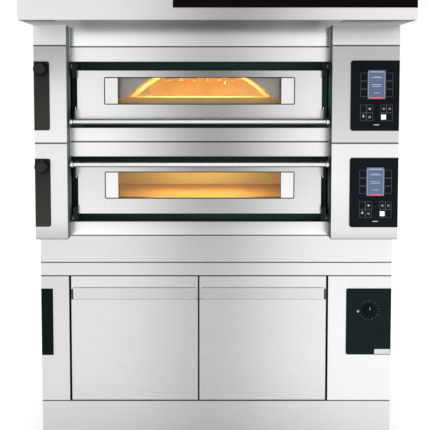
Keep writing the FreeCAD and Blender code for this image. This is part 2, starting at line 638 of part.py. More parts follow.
def shared_chamber_pieces():
    """The insulation, lamps and temperature probes of both chambers."""
    wool, lamps, probes = [], [], []
    for deck, base in DECKS.items():
        outer = box(f"insulation_{deck}_block",
                    (f"{CHAMBER_LEFT} - chamber_wall - insulation",
                     f"{CHAMBER_RIGHT} + chamber_wall + insulation"),
                    (CHAMBER_FRONT, f"{REAR} - sheet"), (f"{base} + sheet", f"{base} + deck_height - sheet"))
        room = box(f"insulation_{deck}_room",
                   (f"{CHAMBER_LEFT} - chamber_wall", f"{CHAMBER_RIGHT} + chamber_wall"),
                   (CHAMBER_FRONT, f"{CHAMBER_REAR} + chamber_wall"),
                   (f"{base} + chamber_bottom - chamber_wall", f"{base} + chamber_top + chamber_wall"))
        stub = box(f"insulation_{deck}_stub", BRANCH_X, (CHAMBER_REAR, REAR), branch_z(base))
        wool.append(cut(f"insulation_{deck}", outer, [room, stub]))
        lamp_x = f"({MIDDLE} - lamp_offset)"
        lamps.append(box(f"chamber_lamp_{deck}", (f"{lamp_x} - lamp_length/2", f"{lamp_x} + lamp_length/2"),
                         (f"{CHAMBER_FRONT} + lamp_back", f"{CHAMBER_FRONT} + lamp_back + lamp_width"),
                         (f"{base} + chamber_top - lamp_thickness", f"{base} + chamber_top")))
        probes.append(rod(f"temperature_probe_{deck}",
                          (f"{MIDDLE} + 2*element_pitch", f"{CHAMBER_REAR} - chamber_depth/3",
                           f"{base} + chamber_top - probe_length"), "probe_radius", "probe_length", "z"))
    keep(group("insulation", wool))
    keep(group("chamber_lamps", lamps))
    keep(group("temperature_probes", probes))


# ---------------------------------------------------------------- steam valve and exhaust

def steam_valve(deck, base):
    """A knob at the front whose long rod turns a flap in the exhaust duct behind the deck."""
    z = f"({base} + steam_height)"
    knob_rear = f"({FRONT} - plate_thickness - knob_gap)"
    name = f"{deck}_steam_knob"
    wheel = rod(f"{name}_wheel", (STEAM_X, f"{knob_rear} - steam_knob_depth", z), "steam_knob_radius",
                "steam_knob_depth")
    bore = rod(f"{name}_bore", (STEAM_X, f"{knob_rear} - steam_knob_depth/2", z), "rod_radius",
               "steam_knob_depth")
    keep(cut(name, wheel, [bore]))
    inner = "(duct_size/2 - duct_wall - duct_clearance)"
    duct = (f"{REAR} + duct_wall + duct_clearance", f"{REAR} + duct_size - duct_wall - duct_clearance")
    keep(fuse(f"{deck}_steam_damper", [
        rod(f"{deck}_damper_rod", (STEAM_X, f"{knob_rear} - steam_knob_depth/2", z), "rod_radius",
            f"{duct[1]} - ({knob_rear} - steam_knob_depth/2)"),
        box(f"{deck}_damper_flap", (f"{STEAM_X} - {inner}", f"{STEAM_X} + {inner}"), duct,
            (f"{z} - flap_thickness/2", f"{z} + flap_thickness/2")),
    ]))


def tube_run(name, runs, shrink):
    """Boxes along a duct's route, drawn in by a wall where it is the inside that is meant."""
    return fuse(name, [
        box(f"{name}_{number}", (f"{x[0]} + {shrink}", f"{x[1]} - {shrink}"),
            (f"{REAR} + {shrink}", f"{REAR} + duct_size - {shrink}"),
            (f"{z[0]} + {shrink}", f"{z[1]} - {shrink}"))
        for number, (x, z) in enumerate(runs)])


def exhaust_ducts():
    """A square steel duct from each chamber up into the hood."""
    jog = (f"{BRANCH_X[1]} + jog_gap", f"{BRANCH_X[1]} + jog_gap + duct_size")
    ducts = []
    for deck, base in DECKS.items():
        z = branch_z(base)
        turn = (f"{base} + jog_bottom", f"{base} + jog_bottom + jog_height")
        if deck == "lower":
            runs = [((STACK_X[0], BRANCH_X[1]), z), (STACK_X, (z[0], turn[1])),
                    ((STACK_X[0], jog[1]), turn), (jog, (turn[0], HOOD))]
            mouth_x = jog
        else:
            runs = [((STACK_X[0], BRANCH_X[1]), z), (STACK_X, (z[0], HOOD))]
            mouth_x = STACK_X
        stub = box(f"exhaust_{deck}_stub", BRANCH_X, (CHAMBER_REAR, f"{REAR} + duct_wall"), z)
        bore = box(f"exhaust_{deck}_bore", (f"{BRANCH_X[0]} + duct_wall", f"{BRANCH_X[1]} - duct_wall"),
                   (f"{CHAMBER_REAR} - duct_wall", f"{REAR} + 2*duct_wall"),
                   (f"{z[0]} + duct_wall", f"{z[1]} - duct_wall"))
        top = box(f"exhaust_{deck}_top", (f"{mouth_x[0]} + duct_wall", f"{mouth_x[1]} - duct_wall"),
                  (f"{REAR} + duct_wall", f"{REAR} + duct_size - duct_wall"),
                  (f"{HOOD} - duct_size", f"{HOOD} + duct_wall"))
        hole = rod(f"exhaust_{deck}_hole", (STEAM_X, f"{REAR} - duct_wall", f"{base} + steam_height"),
                   "rod_radius + fit", "3*duct_wall")
        outer = fuse(f"exhaust_{deck}_outer", [tube_run(f"exhaust_{deck}_run", runs, "0"), stub])
        ducts.append(cut(f"exhaust_{deck}", outer,
                         [tube_run(f"exhaust_{deck}_inside", runs, "duct_wall"), bore, top, hole]))
    keep(group("exhaust_ducts", ducts))


# ---------------------------------------------------------------- controls and cooling

def control_panel(deck, base):
    """A thick glass panel with rounded left corners, a sunk display and a round-cornered outline."""
    name = f"{deck}_control_panel"
    left = f"({RIGHT} - panel_width)"
    plate = body_at(f"{name}_plate", left, FRONT, f"{base} + panel_bottom")
    base_pad = pad(plate, "XZ_Plane", rectangle("0", "0", "panel_width", "panel_height"), "panel_thickness")
    round_edges(plate, base_pad, "panel_corner", lambda middle, edge: along_depth(edge) and middle.x < 1)
    screen = display_ranges(base)
    seat = box(f"{name}_seat", screen[0], (f"{screen[1][0]} - sheet", screen[1][1]), screen[2])
    return cut(name, plate, [seat])


def display_ranges(base):
    """Where a deck's display lies in the face of its control panel."""
    left, low = f"({RIGHT} - panel_width + display_left)", f"({base} + panel_bottom + display_rise)"
    face = f"({FRONT} - panel_thickness)"
    return ((left, f"{left} + display_width"), (face, f"{face} + display_depth"),
            (low, f"{low} + display_height"))


def shared_control_pieces():
    """The displays, cover plates and relay boards of both decks."""
    keep(panels("displays", {deck: display_ranges(base) for deck, base in DECKS.items()}))
    boards = []
    for deck, base in DECKS.items():
        y = f"({FRONT} + sheet + board_standoff)"
        z = f"({base} + panel_bottom + display_left/2)"
        left = f"({FAN_X} - board_width/2)"
        card = box(f"board_{deck}_card", (left, f"{left} + board_width"), (y, f"{y} + board_thickness"),
                   (z, f"{z} + board_height"))
        relays = [box(f"board_{deck}_relay_{n}", (f"{left} + {0.25 + 1.25 * n}*relay_size",
                                                  f"{left} + {1.25 + 1.25 * n}*relay_size"),
                      (f"{y} + board_thickness", f"{y} + board_thickness + relay_size/2"),
                      (f"{z} + relay_size", f"{z} + 2*relay_size")) for n in range(4)]
        boards.append(fuse(f"board_{deck}", [card] + relays))
    keep(group("control_boards", boards))


def cover_plates():
    """Dark plates on the left pillars; each deck's one is pierced for its steam valve's rod."""
    plates = []
    front = (f"{FRONT} - plate_thickness", FRONT)
    for deck, base in DECKS.items():
        name = f"cover_plate_{deck}"
        plate = body_at(f"{name}_plate", LEFT, FRONT, f"{base} + cover_plate_bottom")
        face = pad(plate, "XZ_Plane", rectangle("0", "0", "cover_plate_width", "cover_plate_height"),
                   "plate_thickness")
        round_edges(plate, face, "plate_corner", lambda middle, edge: along_depth(edge) and middle.x > 1)
        hole = rod(f"{name}_hole", (STEAM_X, f"{front[0]} - sheet", f"{base} + steam_height"),
                   "rod_radius + fit", "plate_thickness + 2*sheet")
        plates.append(cut(name, plate, [hole]))
    plates.append(box("cover_plate_cabinet", (LEFT, f"{LEFT} + left_plate_width"),
                      (f"{PANEL} - plate_thickness", PANEL),
                      ("left_plate_bottom", "left_plate_bottom + left_plate_height")))
    keep(group("left_cover_plates", plates))


def circle(sketch, radius):
    """A circle round the sketch's origin."""
    number = sketch.addGeometry(Part.Circle(FreeCAD.Vector(), FreeCAD.Vector(0, 0, 1), 10), False)
    sketch.addConstraint(Sketcher.Constraint("Coincident", number, 3, -1, 1))
    hold(sketch, "Radius", number, radius)


def round_pad(body, name, radius, length, backwards=False):
    sketch = sketch_on(body, "XY_Plane", f"{body.Label}_{name}_outline")
    circle(sketch, radius)
    item = body.newObject("PartDesign::Pad", f"{body.Label}_{name}")
    item.Profile = sketch
    item.Reversed = backwards
    bind(item, Length=length)
    DOC.recompute()
    return item


def impeller(name, at, along, hub, depth, reach, count, chord, shaft, shaft_length):
    """A fan wheel: a hub, slanted blades in a ring and a shaft stub behind."""
    wheel = place(make("PartDesign::Body", name), *at, along)
    round_pad(wheel, "hub", hub, depth)
    round_pad(wheel, "shaft", shaft, shaft_length, True)
    sketch = sketch_on(wheel, "YZ_Plane", f"{name}_blade_outline")
    polygon(sketch, [(f"-{chord}", "blade_lift"), (f"-{chord} + 2*blade_lift", "blade_lift"),
                     (chord, f"{depth} - blade_lift"), (f"{chord} - 2*blade_lift", f"{depth} - blade_lift")])
    blade = wheel.newObject("PartDesign::Pad", f"{name}_blade")
    blade.Profile = sketch
    bind(blade, Length=reach)
    DOC.recompute()
    ring = wheel.newObject("PartDesign::PolarPattern", f"{name}_ring")
    ring.Originals = [blade]
    spindle = [item for item in wheel.Origin.OriginFeatures if item.Role == "Z_Axis"][0]
    ring.Axis = (spindle, [""])
    ring.Angle = 360
    bind(ring, Occurrences=count)
    wheel.Tip = ring
    DOC.recompute()
    return keep(wheel)


def cooling_fans():
    """Axial fans in the rear sheet, which draw air through the controls' side of each deck."""
    frames = []
    for deck, base in DECKS.items():
        z = f"({base} + fan_height)"
        front = f"({REAR} - sheet - fan_depth)"
        name = f"fan_frame_{deck}"
        square = box(f"{name}_square", (f"{FAN_X} - fan_size/2", f"{FAN_X} + fan_size/2"),
                     (front, f"{front} + fan_depth"), (f"{z} - fan_size/2", f"{z} + fan_size/2"))
        bore = rod(f"{name}_bore", (FAN_X, f"{front} - sheet", z), "fan_bore", "fan_depth + 2*sheet")
        rear = f"({REAR} - sheet - motor_depth)"
        arms = [box(f"{name}_arm_{n}", (f"{FAN_X} - {x}/2", f"{FAN_X} + {x}/2"),
                    (f"{REAR} - sheet - fan_strut", f"{REAR} - sheet"), (f"{z} - {up}/2", f"{z} + {up}/2"))
                for n, (x, up) in enumerate((("fan_strut", "fan_size"), ("fan_size", "fan_strut")))]
        motor = rod(f"{name}_motor", (FAN_X, rear, z), "fan_hub", "motor_depth")
        shaft = rod(f"{name}_shaft_hole", (FAN_X, f"{rear} - sheet", z), "fan_shaft + fit", "motor_depth")
        ring = cut(f"{name}_ring", square, [bore])
        frames.append(cut(name, fuse(f"{name}_body", [ring, motor] + arms), [shaft]))
        impeller(f"{deck}_cooling_fan", (FAN_X, f"{rear} - fan_gap", z), "front_y", "fan_hub",
                 "fan_depth - motor_depth - 2*fan_gap", "fan_bore - fan_tip_gap", "fan_blades", "fan_chord",
                 "fan_shaft", "motor_depth/2 + fan_gap")
    keep(group("fan_frames", frames))


# ---------------------------------------------------------------- proving cabinet

def cabinet_casing():
    """Sheets round the cabinet, from the top of the plinth to the underside of the lower deck."""
    inner = (f"{LEFT} + sheet", f"{RIGHT} - sheet")
    behind = (f"{PANEL} + sheet", f"{REAR} - sheet")
    tall = (PLINTH_TOP, LOWER_DECK)
    keep(panels("cabinet_casing", {
        "left": ((LEFT, inner[0]), behind, tall),
        "right": ((inner[1], RIGHT), behind, tall),
        "rear": ((LEFT, RIGHT), (behind[1], REAR), tall),
        "floor": (inner, behind, (PLINTH_TOP, CABINET_FLOOR)),
        "roof": (inner, behind, (f"{LOWER_DECK} - sheet", LOWER_DECK)),
    }))


def cabinet_front():
    """The fixed front round the doors, with returns beside and above the doorway."""
    face, returns = (PANEL, f"{PANEL} + sheet"), (f"{PANEL} + sheet", JAMB)
    right_face = box("cabinet_front_right_sheet", (CABINET_RIGHT, RIGHT), face, (PLINTH_TOP, RAIL))
    shaft_hole = rod("cabinet_front_shaft_hole", (DIAL_X, f"{PANEL} - sheet", "dial_z"), "dial_shaft + fit",
                     "3*sheet")
    jambs = [box(f"cabinet_front_{side}_return", across, returns, (CABINET_FLOOR, RAIL))
             for side, across in (("left", (f"{CABINET_LEFT} - sheet", CABINET_LEFT)),
                                  ("right", (CABINET_RIGHT, f"{CABINET_RIGHT} + sheet")))]
    keep(group("cabinet_front", jambs + [
        box("cabinet_front_left", (LEFT, CABINET_LEFT), face, (PLINTH_TOP, RAIL)),
        cut("cabinet_front_right", right_face, [shaft_hole]),
        box("cabinet_front_rail", (LEFT, RIGHT), face, (RAIL, FASCIA)),
        box("cabinet_front_fascia", (LEFT, RIGHT), face, (FASCIA, LOWER_DECK)),
        box("cabinet_front_soffit", (CABINET_LEFT, CABINET_RIGHT), returns, (RAIL, f"{RAIL} + sheet")),
    ]))


def cabinet_lining():
    """The proving room behind the doors, with its frame, its tray runners and its water tank."""
    left, right = CAVITY
    frame, room = (JAMB, f"{JAMB} + sheet"), (f"{JAMB} + sheet", CAVITY_REAR)
    roof = f"({RAIL} - lining_inset)"
    keep(panels("cabinet_lining", {
        "left": ((f"{CABINET_LEFT} - sheet", left), frame, (CABINET_FLOOR, RAIL)),
        "right": ((right, f"{CABINET_RIGHT} + sheet"), frame, (CABINET_FLOOR, RAIL)),
        "sill": (CAVITY, frame, (CABINET_FLOOR, CAVITY_FLOOR)),
        "lintel": (CAVITY, frame, (roof, RAIL)),
        "left_wall": ((f"{left} - sheet", left), room, (CAVITY_FLOOR, roof)),
        "right_wall": ((right, f"{right} + sheet"), room, (CAVITY_FLOOR, roof)),
        "rear_wall": (CAVITY, (f"{CAVITY_REAR} - sheet", CAVITY_REAR), (CAVITY_FLOOR, roof)),
        "base": (CAVITY, room, (f"{CAVITY_FLOOR} - sheet", CAVITY_FLOOR)),
        "ceiling": (CAVITY, room, (roof, f"{roof} + sheet")),
    }))
    runners = {}
    for side, start, step in (("left", left, 1), ("right", right, -1)):
        for n in range(SIZES["runner_count"]):
            z = f"({CAVITY_FLOOR} + runner_base + {n}*runner_pitch)"
            runners[f"{side}_{n}"] = (sorted_pair(start, f"{start} + {step}*runner_width", step),
                                      (f"{JAMB} + runner_base", f"{JAMB} + runner_base + runner_length"),
                                      (z, f"{z} + sheet"))
    keep(panels("tray_runners", runners))
    water = (f"{DOORS_MIDDLE} - tray_width/2", f"{DOORS_MIDDLE} + tray_width/2")
    keep(box("proving_heater", water, (f"{CAVITY_REAR} - tray_depth", f"{CAVITY_REAR} - sheet"),
             (CAVITY_FLOOR, f"{CAVITY_FLOOR} + tray_height")))


def plinth():
    """The closed base under the cabinet and the four pads it stands on."""
    inner = (f"{LEFT} + sheet", f"{RIGHT} - sheet")
    behind = (f"{PANEL} + sheet", f"{REAR} - sheet")
    tall = ("pad_height", PLINTH_TOP)
    keep(panels("plinth", {
        "front": ((LEFT, RIGHT), (PANEL, behind[0]), tall),
        "rear": ((LEFT, RIGHT), (behind[1], REAR), tall),
        "left": ((LEFT, inner[0]), behind, tall),
        "right": ((inner[1], RIGHT), behind, tall),
        "floor": (inner, behind, ("pad_height", "pad_height + sheet")),
    }))
    keep(group("floor_pads", [
        rod(f"floor_pad_{side}_{end}", (x, y, "0"), "pad_radius", "pad_height", "z")
        for side, x in (("left", f"{LEFT} + pad_inset"), ("right", f"{RIGHT} - pad_inset"))
        for end, y in (("front", f"{PANEL} + pad_inset"), ("rear", f"{REAR} - pad_inset"))]))


def cabinet_leaf(name, across, low, high, bores):
    """A thick door leaf with a finger recess behind a folded lip; its ends are bored for the pins."""
    leaf, lip = (PANEL, f"{PANEL} + cabinet_door_thickness"), f"({PANEL} - band_depth + sheet)"
    recess = (f"{across[0]} + 2*band_notch", f"{across[1]} - 2*band_notch")
    band = (f"{across[0]} + band_notch", f"{across[1]} - band_notch")
    foot, top = f"({PLINTH_TOP} + band_bottom)", f"({PLINTH_TOP} + band_bottom + band_height)"
    roof, back = f"({top} - sheet)", f"{PANEL} + grip_depth"
    lower = box(f"{name}_lower_sheet", across, leaf, (low, foot))
    upper = box(f"{name}_upper_sheet", across, leaf, (roof, high))
    keep(group(name, [
        cut(f"{name}_lower", lower, bores[:1]),
        cut(f"{name}_upper", upper, bores[1:]),
        box(f"{name}_recess_back", across, (back, leaf[1]), (foot, roof)),
        box(f"{name}_recess_left", (across[0], recess[0]), (PANEL, back), (foot, roof)),
        box(f"{name}_recess_right", (recess[1], across[1]), (PANEL, back), (foot, roof)),
        box(f"{name}_lip", band, (f"{PANEL} - band_depth", lip), (foot, top)),
        box(f"{name}_lip_roof", band, (lip, PANEL), (roof, top)),
        box(f"{name}_lip_left", (band[0], recess[0]), (lip, PANEL), (foot, roof)),
        box(f"{name}_lip_right", (recess[1], band[1]), (lip, PANEL), (foot, roof)),
    ]))


def cabinet_doors():
    """Two doors hung on pins at their outer edges."""
    low, high = f"({CABINET_FLOOR} + door_running_gap)", f"({RAIL} - door_running_gap)"
    edges = {
        "left": (f"{CABINET_LEFT} + cabinet_door_gap", f"{DOORS_MIDDLE} - cabinet_centre_gap/2"),
        "right": (f"{DOORS_MIDDLE} + cabinet_centre_gap/2", f"{CABINET_RIGHT} - cabinet_door_gap"),
    }
    pivots = {"left": f"({edges['left'][0]} + cabinet_pivot_inset)",
              "right": f"({edges['right'][1]} - cabinet_pivot_inset)"}
    pins = []
    for side, across in edges.items():
        name = f"{side}_cabinet_door"
        bores = [rod(f"{name}_bore_{n}", (pivots[side], CABINET_PIVOT_Y, z), "cabinet_pin_radius + fit",
                     "cabinet_pin_length + sheet", "z")
                 for n, z in enumerate((f"{low} - sheet", f"{high} - cabinet_pin_length"))]
        cabinet_leaf(name, across, low, high, bores)
        for end, z in (("low", CABINET_FLOOR), ("high", f"({RAIL} - cabinet_pin_length)")):
            pins.append(rod(f"cabinet_pin_{side}_{end}", (pivots[side], CABINET_PIVOT_Y, z),
                            "cabinet_pin_radius", "cabinet_pin_length", "z"))
    keep(group("cabinet_hinge_pins", pins))


def cabinet_controls():
    """The thermostat's plate, dial and body, and its pilot lamp."""
    front = (f"{PANEL} - plate_thickness", PANEL)
    plate = body_at("dial_plate_blank", f"{RIGHT} - dial_plate_width", PANEL, "dial_plate_bottom")
    face = pad(plate, "XZ_Plane", rectangle("0", "0", "dial_plate_width", "dial_plate_height"),
               "plate_thickness")
    round_edges(plate, face, "plate_corner", lambda middle, edge: along_depth(edge) and middle.x < 1)
    lamp_at = ("(width/2 - lamp_x)", f"{front[0]} - plate_thickness/2", "dial_z - indicator_radius")
    keep(cut("thermostat_plate", plate, [
        rod("thermostat_plate_shaft_hole", (DIAL_X, f"{front[0]} - sheet", "dial_z"), "dial_shaft + fit",
            "plate_thickness + 2*sheet"),
        rod("thermostat_plate_lamp_hole", lamp_at, "indicator_radius", "2*plate_thickness"),
    ]))
    keep(rod("pilot_lamp", lamp_at, "indicator_radius", "1.5*plate_thickness"))
    knob_rear = f"({front[0]} - knob_gap)"
    keep(fuse("thermostat_knob", [
        rod("thermostat_knob_wheel", (DIAL_X, f"{knob_rear} - dial_depth", "dial_z"), "dial_radius",
            "dial_depth"),
        rod("thermostat_knob_shaft", (DIAL_X, f"{knob_rear} - sheet", "dial_z"), "dial_shaft",
            "knob_gap + plate_thickness + 3*sheet + thermostat_size/2"),
    ]))
    case = box("thermostat_case", (f"{DIAL_X} - thermostat_size/2", f"{DIAL_X} + thermostat_size/2"),
               (f"{PANEL} + sheet", f"{PANEL} + sheet + thermostat_size"),
               ("dial_z - thermostat_size/2", "dial_z + thermostat_size/2"))
    bush = rod("thermostat_bush", (DIAL_X, PANEL, "dial_z"), "dial_shaft + fit", "0.75*thermostat_size")
    keep(cut("thermostat_body", case, [bush]))


# ---------------------------------------------------------------- hood

def hood_base():
    """The hood's foot on the upper deck; its centre panel rises to the back of the intake."""
    low = (HOOD_BASE, HOOD)
    face = (FRONT, f"{FRONT} + sheet")
    side = (f"{FRONT} + sheet", REAR)
    back = (PANEL, f"{PANEL} + sheet")
    keep(panels("hood_base", {
        "left_face": ((LEFT, OPEN_LEFT), face, low),
        "right_face": ((OPEN_RIGHT, RIGHT), face, low),
        "left_cheek": ((f"{OPEN_LEFT} - sheet", OPEN_LEFT), (face[1], back[1]), low),
        "right_cheek": ((OPEN_RIGHT, f"{OPEN_RIGHT} + sheet"), (face[1], back[1]), low),
        "centre": ((OPEN_LEFT, OPEN_RIGHT), back, (HOOD_BASE, FILTER_SEAT)),
        "left_side": ((LEFT, f"{LEFT} + sheet"), side, low),
        "right_side": ((f"{RIGHT} - sheet", RIGHT), side, low),
        "rear": ((f"{LEFT} + sheet", f"{RIGHT} - sheet"), (f"{REAR} - sheet", REAR), low),
    }))


def hood_shell():
    """The hood's outer sheets, its floor, the walls of its intake and the ledges under the filter."""
    inner = (f"{LEFT} + sheet", f"{RIGHT} - sheet")
    deep = (f"{HOOD_FACE} + sheet", f"{HOOD_REAR} - sheet")
    tall, floor = (HOOD, HOOD_TOP), (HOOD, f"{HOOD} + sheet")
    centre, intake = (OPEN_LEFT, OPEN_RIGHT), (deep[0], f"{PANEL} + sheet")
    ledge = (f"{FILTER_SEAT} - sheet", FILTER_SEAT)
    top = box("hood_top_sheet", inner, deep, (f"{HOOD_TOP} - sheet", HOOD_TOP))
    outlet = rod("hood_top_hole", ("0", "collar_y", f"{HOOD_TOP} - 2*sheet"), "collar_radius - collar_step",
                 "3*sheet", "z")
    keep(group("hood_shell", [
        box("hood_fascia", (LEFT, RIGHT), (HOOD_FACE, deep[0]), tall),
        box("hood_rear", (LEFT, RIGHT), (deep[1], HOOD_REAR), tall),
        box("hood_left", (LEFT, inner[0]), deep, tall),
        box("hood_right", (inner[1], RIGHT), deep, tall),
        cut("hood_top", top, [outlet]),
        box("hood_left_flange", (inner[0], f"{OPEN_LEFT} - sheet"), (deep[0], REAR), floor),
        box("hood_right_flange", (f"{OPEN_RIGHT} + sheet", inner[1]), (deep[0], REAR), floor),
        box("hood_rear_floor", centre, (intake[1], REAR), floor),
        box("hood_left_wall", (f"{OPEN_LEFT} - sheet", OPEN_LEFT), intake, (HOOD, FILTER_SEAT)),
        box("hood_right_wall", (OPEN_RIGHT, f"{OPEN_RIGHT} + sheet"), intake, (HOOD, FILTER_SEAT)),
        box("hood_front_ledge", centre, (deep[0], f"{deep[0]} + filter_ledge"), ledge),
        box("hood_rear_ledge", centre, (f"{PANEL} - filter_ledge", PANEL), ledge),
    ]))
    keep(box("sign_plate", (f"{RIGHT} - sign_width", RIGHT), (HOOD_FRONT, HOOD_FACE),
             (f"{HOOD} + sign_rise", f"{HOOD_TOP} - sheet")))


def hood_filter():
    """A baffle grease filter that closes the top of the intake."""
    across = (f"{OPEN_LEFT} + filter_margin", f"{OPEN_RIGHT} - filter_margin")
    deep = (f"{HOOD_FACE} + sheet + filter_margin", f"{PANEL} - filter_margin")
    pitch = f"(({across[1]} - {across[0]})/filter_slots)"
    slats = {}
    for n in range(SIZES["filter_slots"]):
        left = f"({across[0]} + {n}*{pitch})"
        slats[f"slat_{n}"] = ((left, f"{left} + {pitch} - filter_slot"),
                              (f"{deep[0]} + filter_rim", f"{deep[1]} - filter_rim"),
                              (FILTER_SEAT, f"{FILTER_SEAT} + sheet"))
    for end, y in (("front", deep[0]), ("rear", f"{deep[1]} - filter_rim")):
        slats[end] = (across, (y, f"{y} + filter_rim"), (FILTER_SEAT, f"{FILTER_SEAT} + filter_rim"))
    keep(panels("grease_filter", slats))


def hood_outlet():
    """The flue collar through the hood's top, which carries the fan's motor on four arms."""
    foot = f"({HOOD_TOP} - boss_height)"
    seat = f"({HOOD_TOP} + collar_seat)"
    rim = f"({HOOD_TOP} + collar_height)"
    arm_z = (f"{rim} - spider_width", rim)
    long, wide = "(collar_radius - sheet)", "spider_width/4"
    neck = rod("hood_collar_neck", ("0", "collar_y", foot), "collar_radius - collar_step",
               f"{seat} - {foot}", "z")
    spigot = rod("hood_collar_spigot", ("0", "collar_y", seat), "collar_radius", f"{rim} - {seat}", "z")
    bore = rod("hood_collar_bore", ("0", "collar_y", f"{foot} - sheet"), COLLAR_BORE,
               f"{rim} - {foot} + 2*sheet", "z")
    ring = cut("hood_collar_ring", fuse("hood_collar_tube", [neck, spigot]), [bore])
    arms = [box(f"hood_collar_arm_{n}", (f"-{x}", x), (f"collar_y - {y}", f"collar_y + {y}"), arm_z)
            for n, (x, y) in enumerate(((wide, long), (long, wide)))]
    boss = rod("hood_collar_boss", ("0", "collar_y", arm_z[0]), "boss_radius", "spider_width", "z")
    shaft = rod("hood_collar_shaft_hole", ("0", "collar_y", f"{arm_z[0]} - sheet"), "hood_shaft + fit",
                "spider_width/2 + sheet", "z")
    keep(cut("hood_collar", fuse("hood_collar_body", [ring, boss] + arms), [shaft]))
    impeller("hood_fan", ("0", "collar_y", f"{arm_z[0]} - fan_gap"), "down_z", "hood_hub", "hood_hub_height",
             f"{COLLAR_BORE} - hood_tip_gap", "hood_blades", "hood_chord", "hood_shaft",
             "spider_width/3 + fan_gap")


def cable_gland():
    """The inlet for the supply cable, low on the rear of the lower deck."""
    z = f"({LOWER_DECK} + gland_height)"
    start = f"({REAR} - sheet - gland_length/4)"
    body = fuse("cable_gland_body", [
        rod("cable_gland_thread", (GLAND_X, start, z), "gland_radius - gland_neck", "gland_length/4 + sheet"),
        rod("cable_gland_nut", (GLAND_X, REAR, z), "gland_radius", "gland_length/2"),
    ])
    keep(cut("cable_gland", body, [
        rod("cable_gland_bore", (GLAND_X, f"{start} - sheet", z), "gland_bore", "gland_length + 2*sheet")]))


# ---------------------------------------------------------------- the whole oven

def build():
    fill_sheet()
    for deck, base in DECKS.items():
        deck_casing(deck, base)
        deck_front(deck, base)
        deck_pillar(deck, base, "left")
        deck_pillar(deck, base, "right")
        oven_door(deck, base)
        door_handle(deck, base)
        door_hinges(deck)
        steam_valve(deck, base)
    hinge_brackets()
    hinge_springs()
    keep(group("chambers", [wall for deck, base in DECKS.items() for wall in chamber(deck, base)]))
    keep(group("heating_elements", [part for deck, base in DECKS.items() for part in elements(deck, base)]))
    keep(group("hearth_slabs", lower_hearth() + upper_hearth()))
    keep(group("control_panels", [control_panel(deck, base) for deck, base in DECKS.items()]))
    upper_dome()
    shared_chamber_pieces()
    shared_control_pieces()
    cover_plates()
    exhaust_ducts()
    cooling_fans()
    cabinet_casing()
    cabinet_front()
    cabinet_lining()
    plinth()
    cabinet_doors()
    cabinet_controls()
    hood_base()
    hood_shell()
    hood_filter()
    hood_outlet()
    cable_gland()
    DOC.recompute()


def check():
    """Stop at any object that failed to compute and at any sub-part without a sound shape."""
    for item in DOC.Objects:
        if "Invalid" in item.State or "Error" in item.State:
            raise RuntimeError(f"{item.Label} did not compute: {item.State}")
    for item in NODES:
        if item.Shape.isNull() or not item.Shape.isValid() or item.Shape.Volume <= 0:
            raise RuntimeError(f"{item.Label} has no sound shape")


def write():
    os.makedirs("parts", exist_ok=True)
    for item in NODES:
        item.Shape.exportStep(f"parts/{item.Label}.step")


build()
check()
write()
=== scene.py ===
"""A twin-deck pizza oven on a proving cabinet under an extraction hood, finished for display."""
import json
import math

import bmesh
import bpy
from mathutils import Matrix, Vector


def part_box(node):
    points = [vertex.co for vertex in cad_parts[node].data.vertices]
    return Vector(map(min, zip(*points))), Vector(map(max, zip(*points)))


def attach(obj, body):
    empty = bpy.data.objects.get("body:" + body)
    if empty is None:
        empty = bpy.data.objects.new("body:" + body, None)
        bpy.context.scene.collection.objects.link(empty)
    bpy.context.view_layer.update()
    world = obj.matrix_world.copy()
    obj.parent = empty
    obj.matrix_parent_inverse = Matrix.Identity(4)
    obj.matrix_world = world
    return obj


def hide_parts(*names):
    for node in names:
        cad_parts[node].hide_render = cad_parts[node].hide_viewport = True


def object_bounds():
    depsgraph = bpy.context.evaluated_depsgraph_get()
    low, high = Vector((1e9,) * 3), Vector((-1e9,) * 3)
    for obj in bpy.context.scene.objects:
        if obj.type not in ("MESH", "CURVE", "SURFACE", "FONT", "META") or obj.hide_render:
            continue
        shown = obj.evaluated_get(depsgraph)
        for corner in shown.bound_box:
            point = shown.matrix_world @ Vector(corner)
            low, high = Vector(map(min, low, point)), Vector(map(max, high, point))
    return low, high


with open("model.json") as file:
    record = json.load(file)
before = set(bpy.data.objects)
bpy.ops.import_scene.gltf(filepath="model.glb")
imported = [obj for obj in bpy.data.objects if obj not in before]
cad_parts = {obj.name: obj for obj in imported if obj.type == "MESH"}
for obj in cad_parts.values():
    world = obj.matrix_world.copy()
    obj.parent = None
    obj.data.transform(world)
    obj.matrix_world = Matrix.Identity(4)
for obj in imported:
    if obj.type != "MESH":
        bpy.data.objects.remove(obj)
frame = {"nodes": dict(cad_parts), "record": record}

CAD_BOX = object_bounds()
NODES = frame["nodes"]
DECKS = ("lower", "upper")
TALL = CAD_BOX[1][2]


# ---------------------------------------------------------------- shader expressions

class Signal:
    """A shader socket on which arithmetic can be written."""

    def __init__(self, finish, socket):
        self.finish = finish
        self.socket = socket

    def join(self, operation, *values):
        return self.finish.node_value(operation, *values)

    def __add__(self, other):
        return self.join("ADD", self, other)

    def __sub__(self, other):
        return self.join("SUBTRACT", self, other)

    def __mul__(self, other):
        return self.join("MULTIPLY", self, other)

    def __truediv__(self, other):
        return self.join("DIVIDE", self, other)

    def __abs__(self):
        return self.join("ABSOLUTE", self)

    def above(self, limit):
        return self.join("GREATER_THAN", self, limit)

    def below(self, limit):
        return self.join("LESS_THAN", self, limit)

    def least(self, other):
        return self.join("MINIMUM", self, other)

    def most(self, other):
        return self.join("MAXIMUM", self, other)

    def clamped(self):
        return self.least(1.0).most(0.0)

    __radd__ = __add__


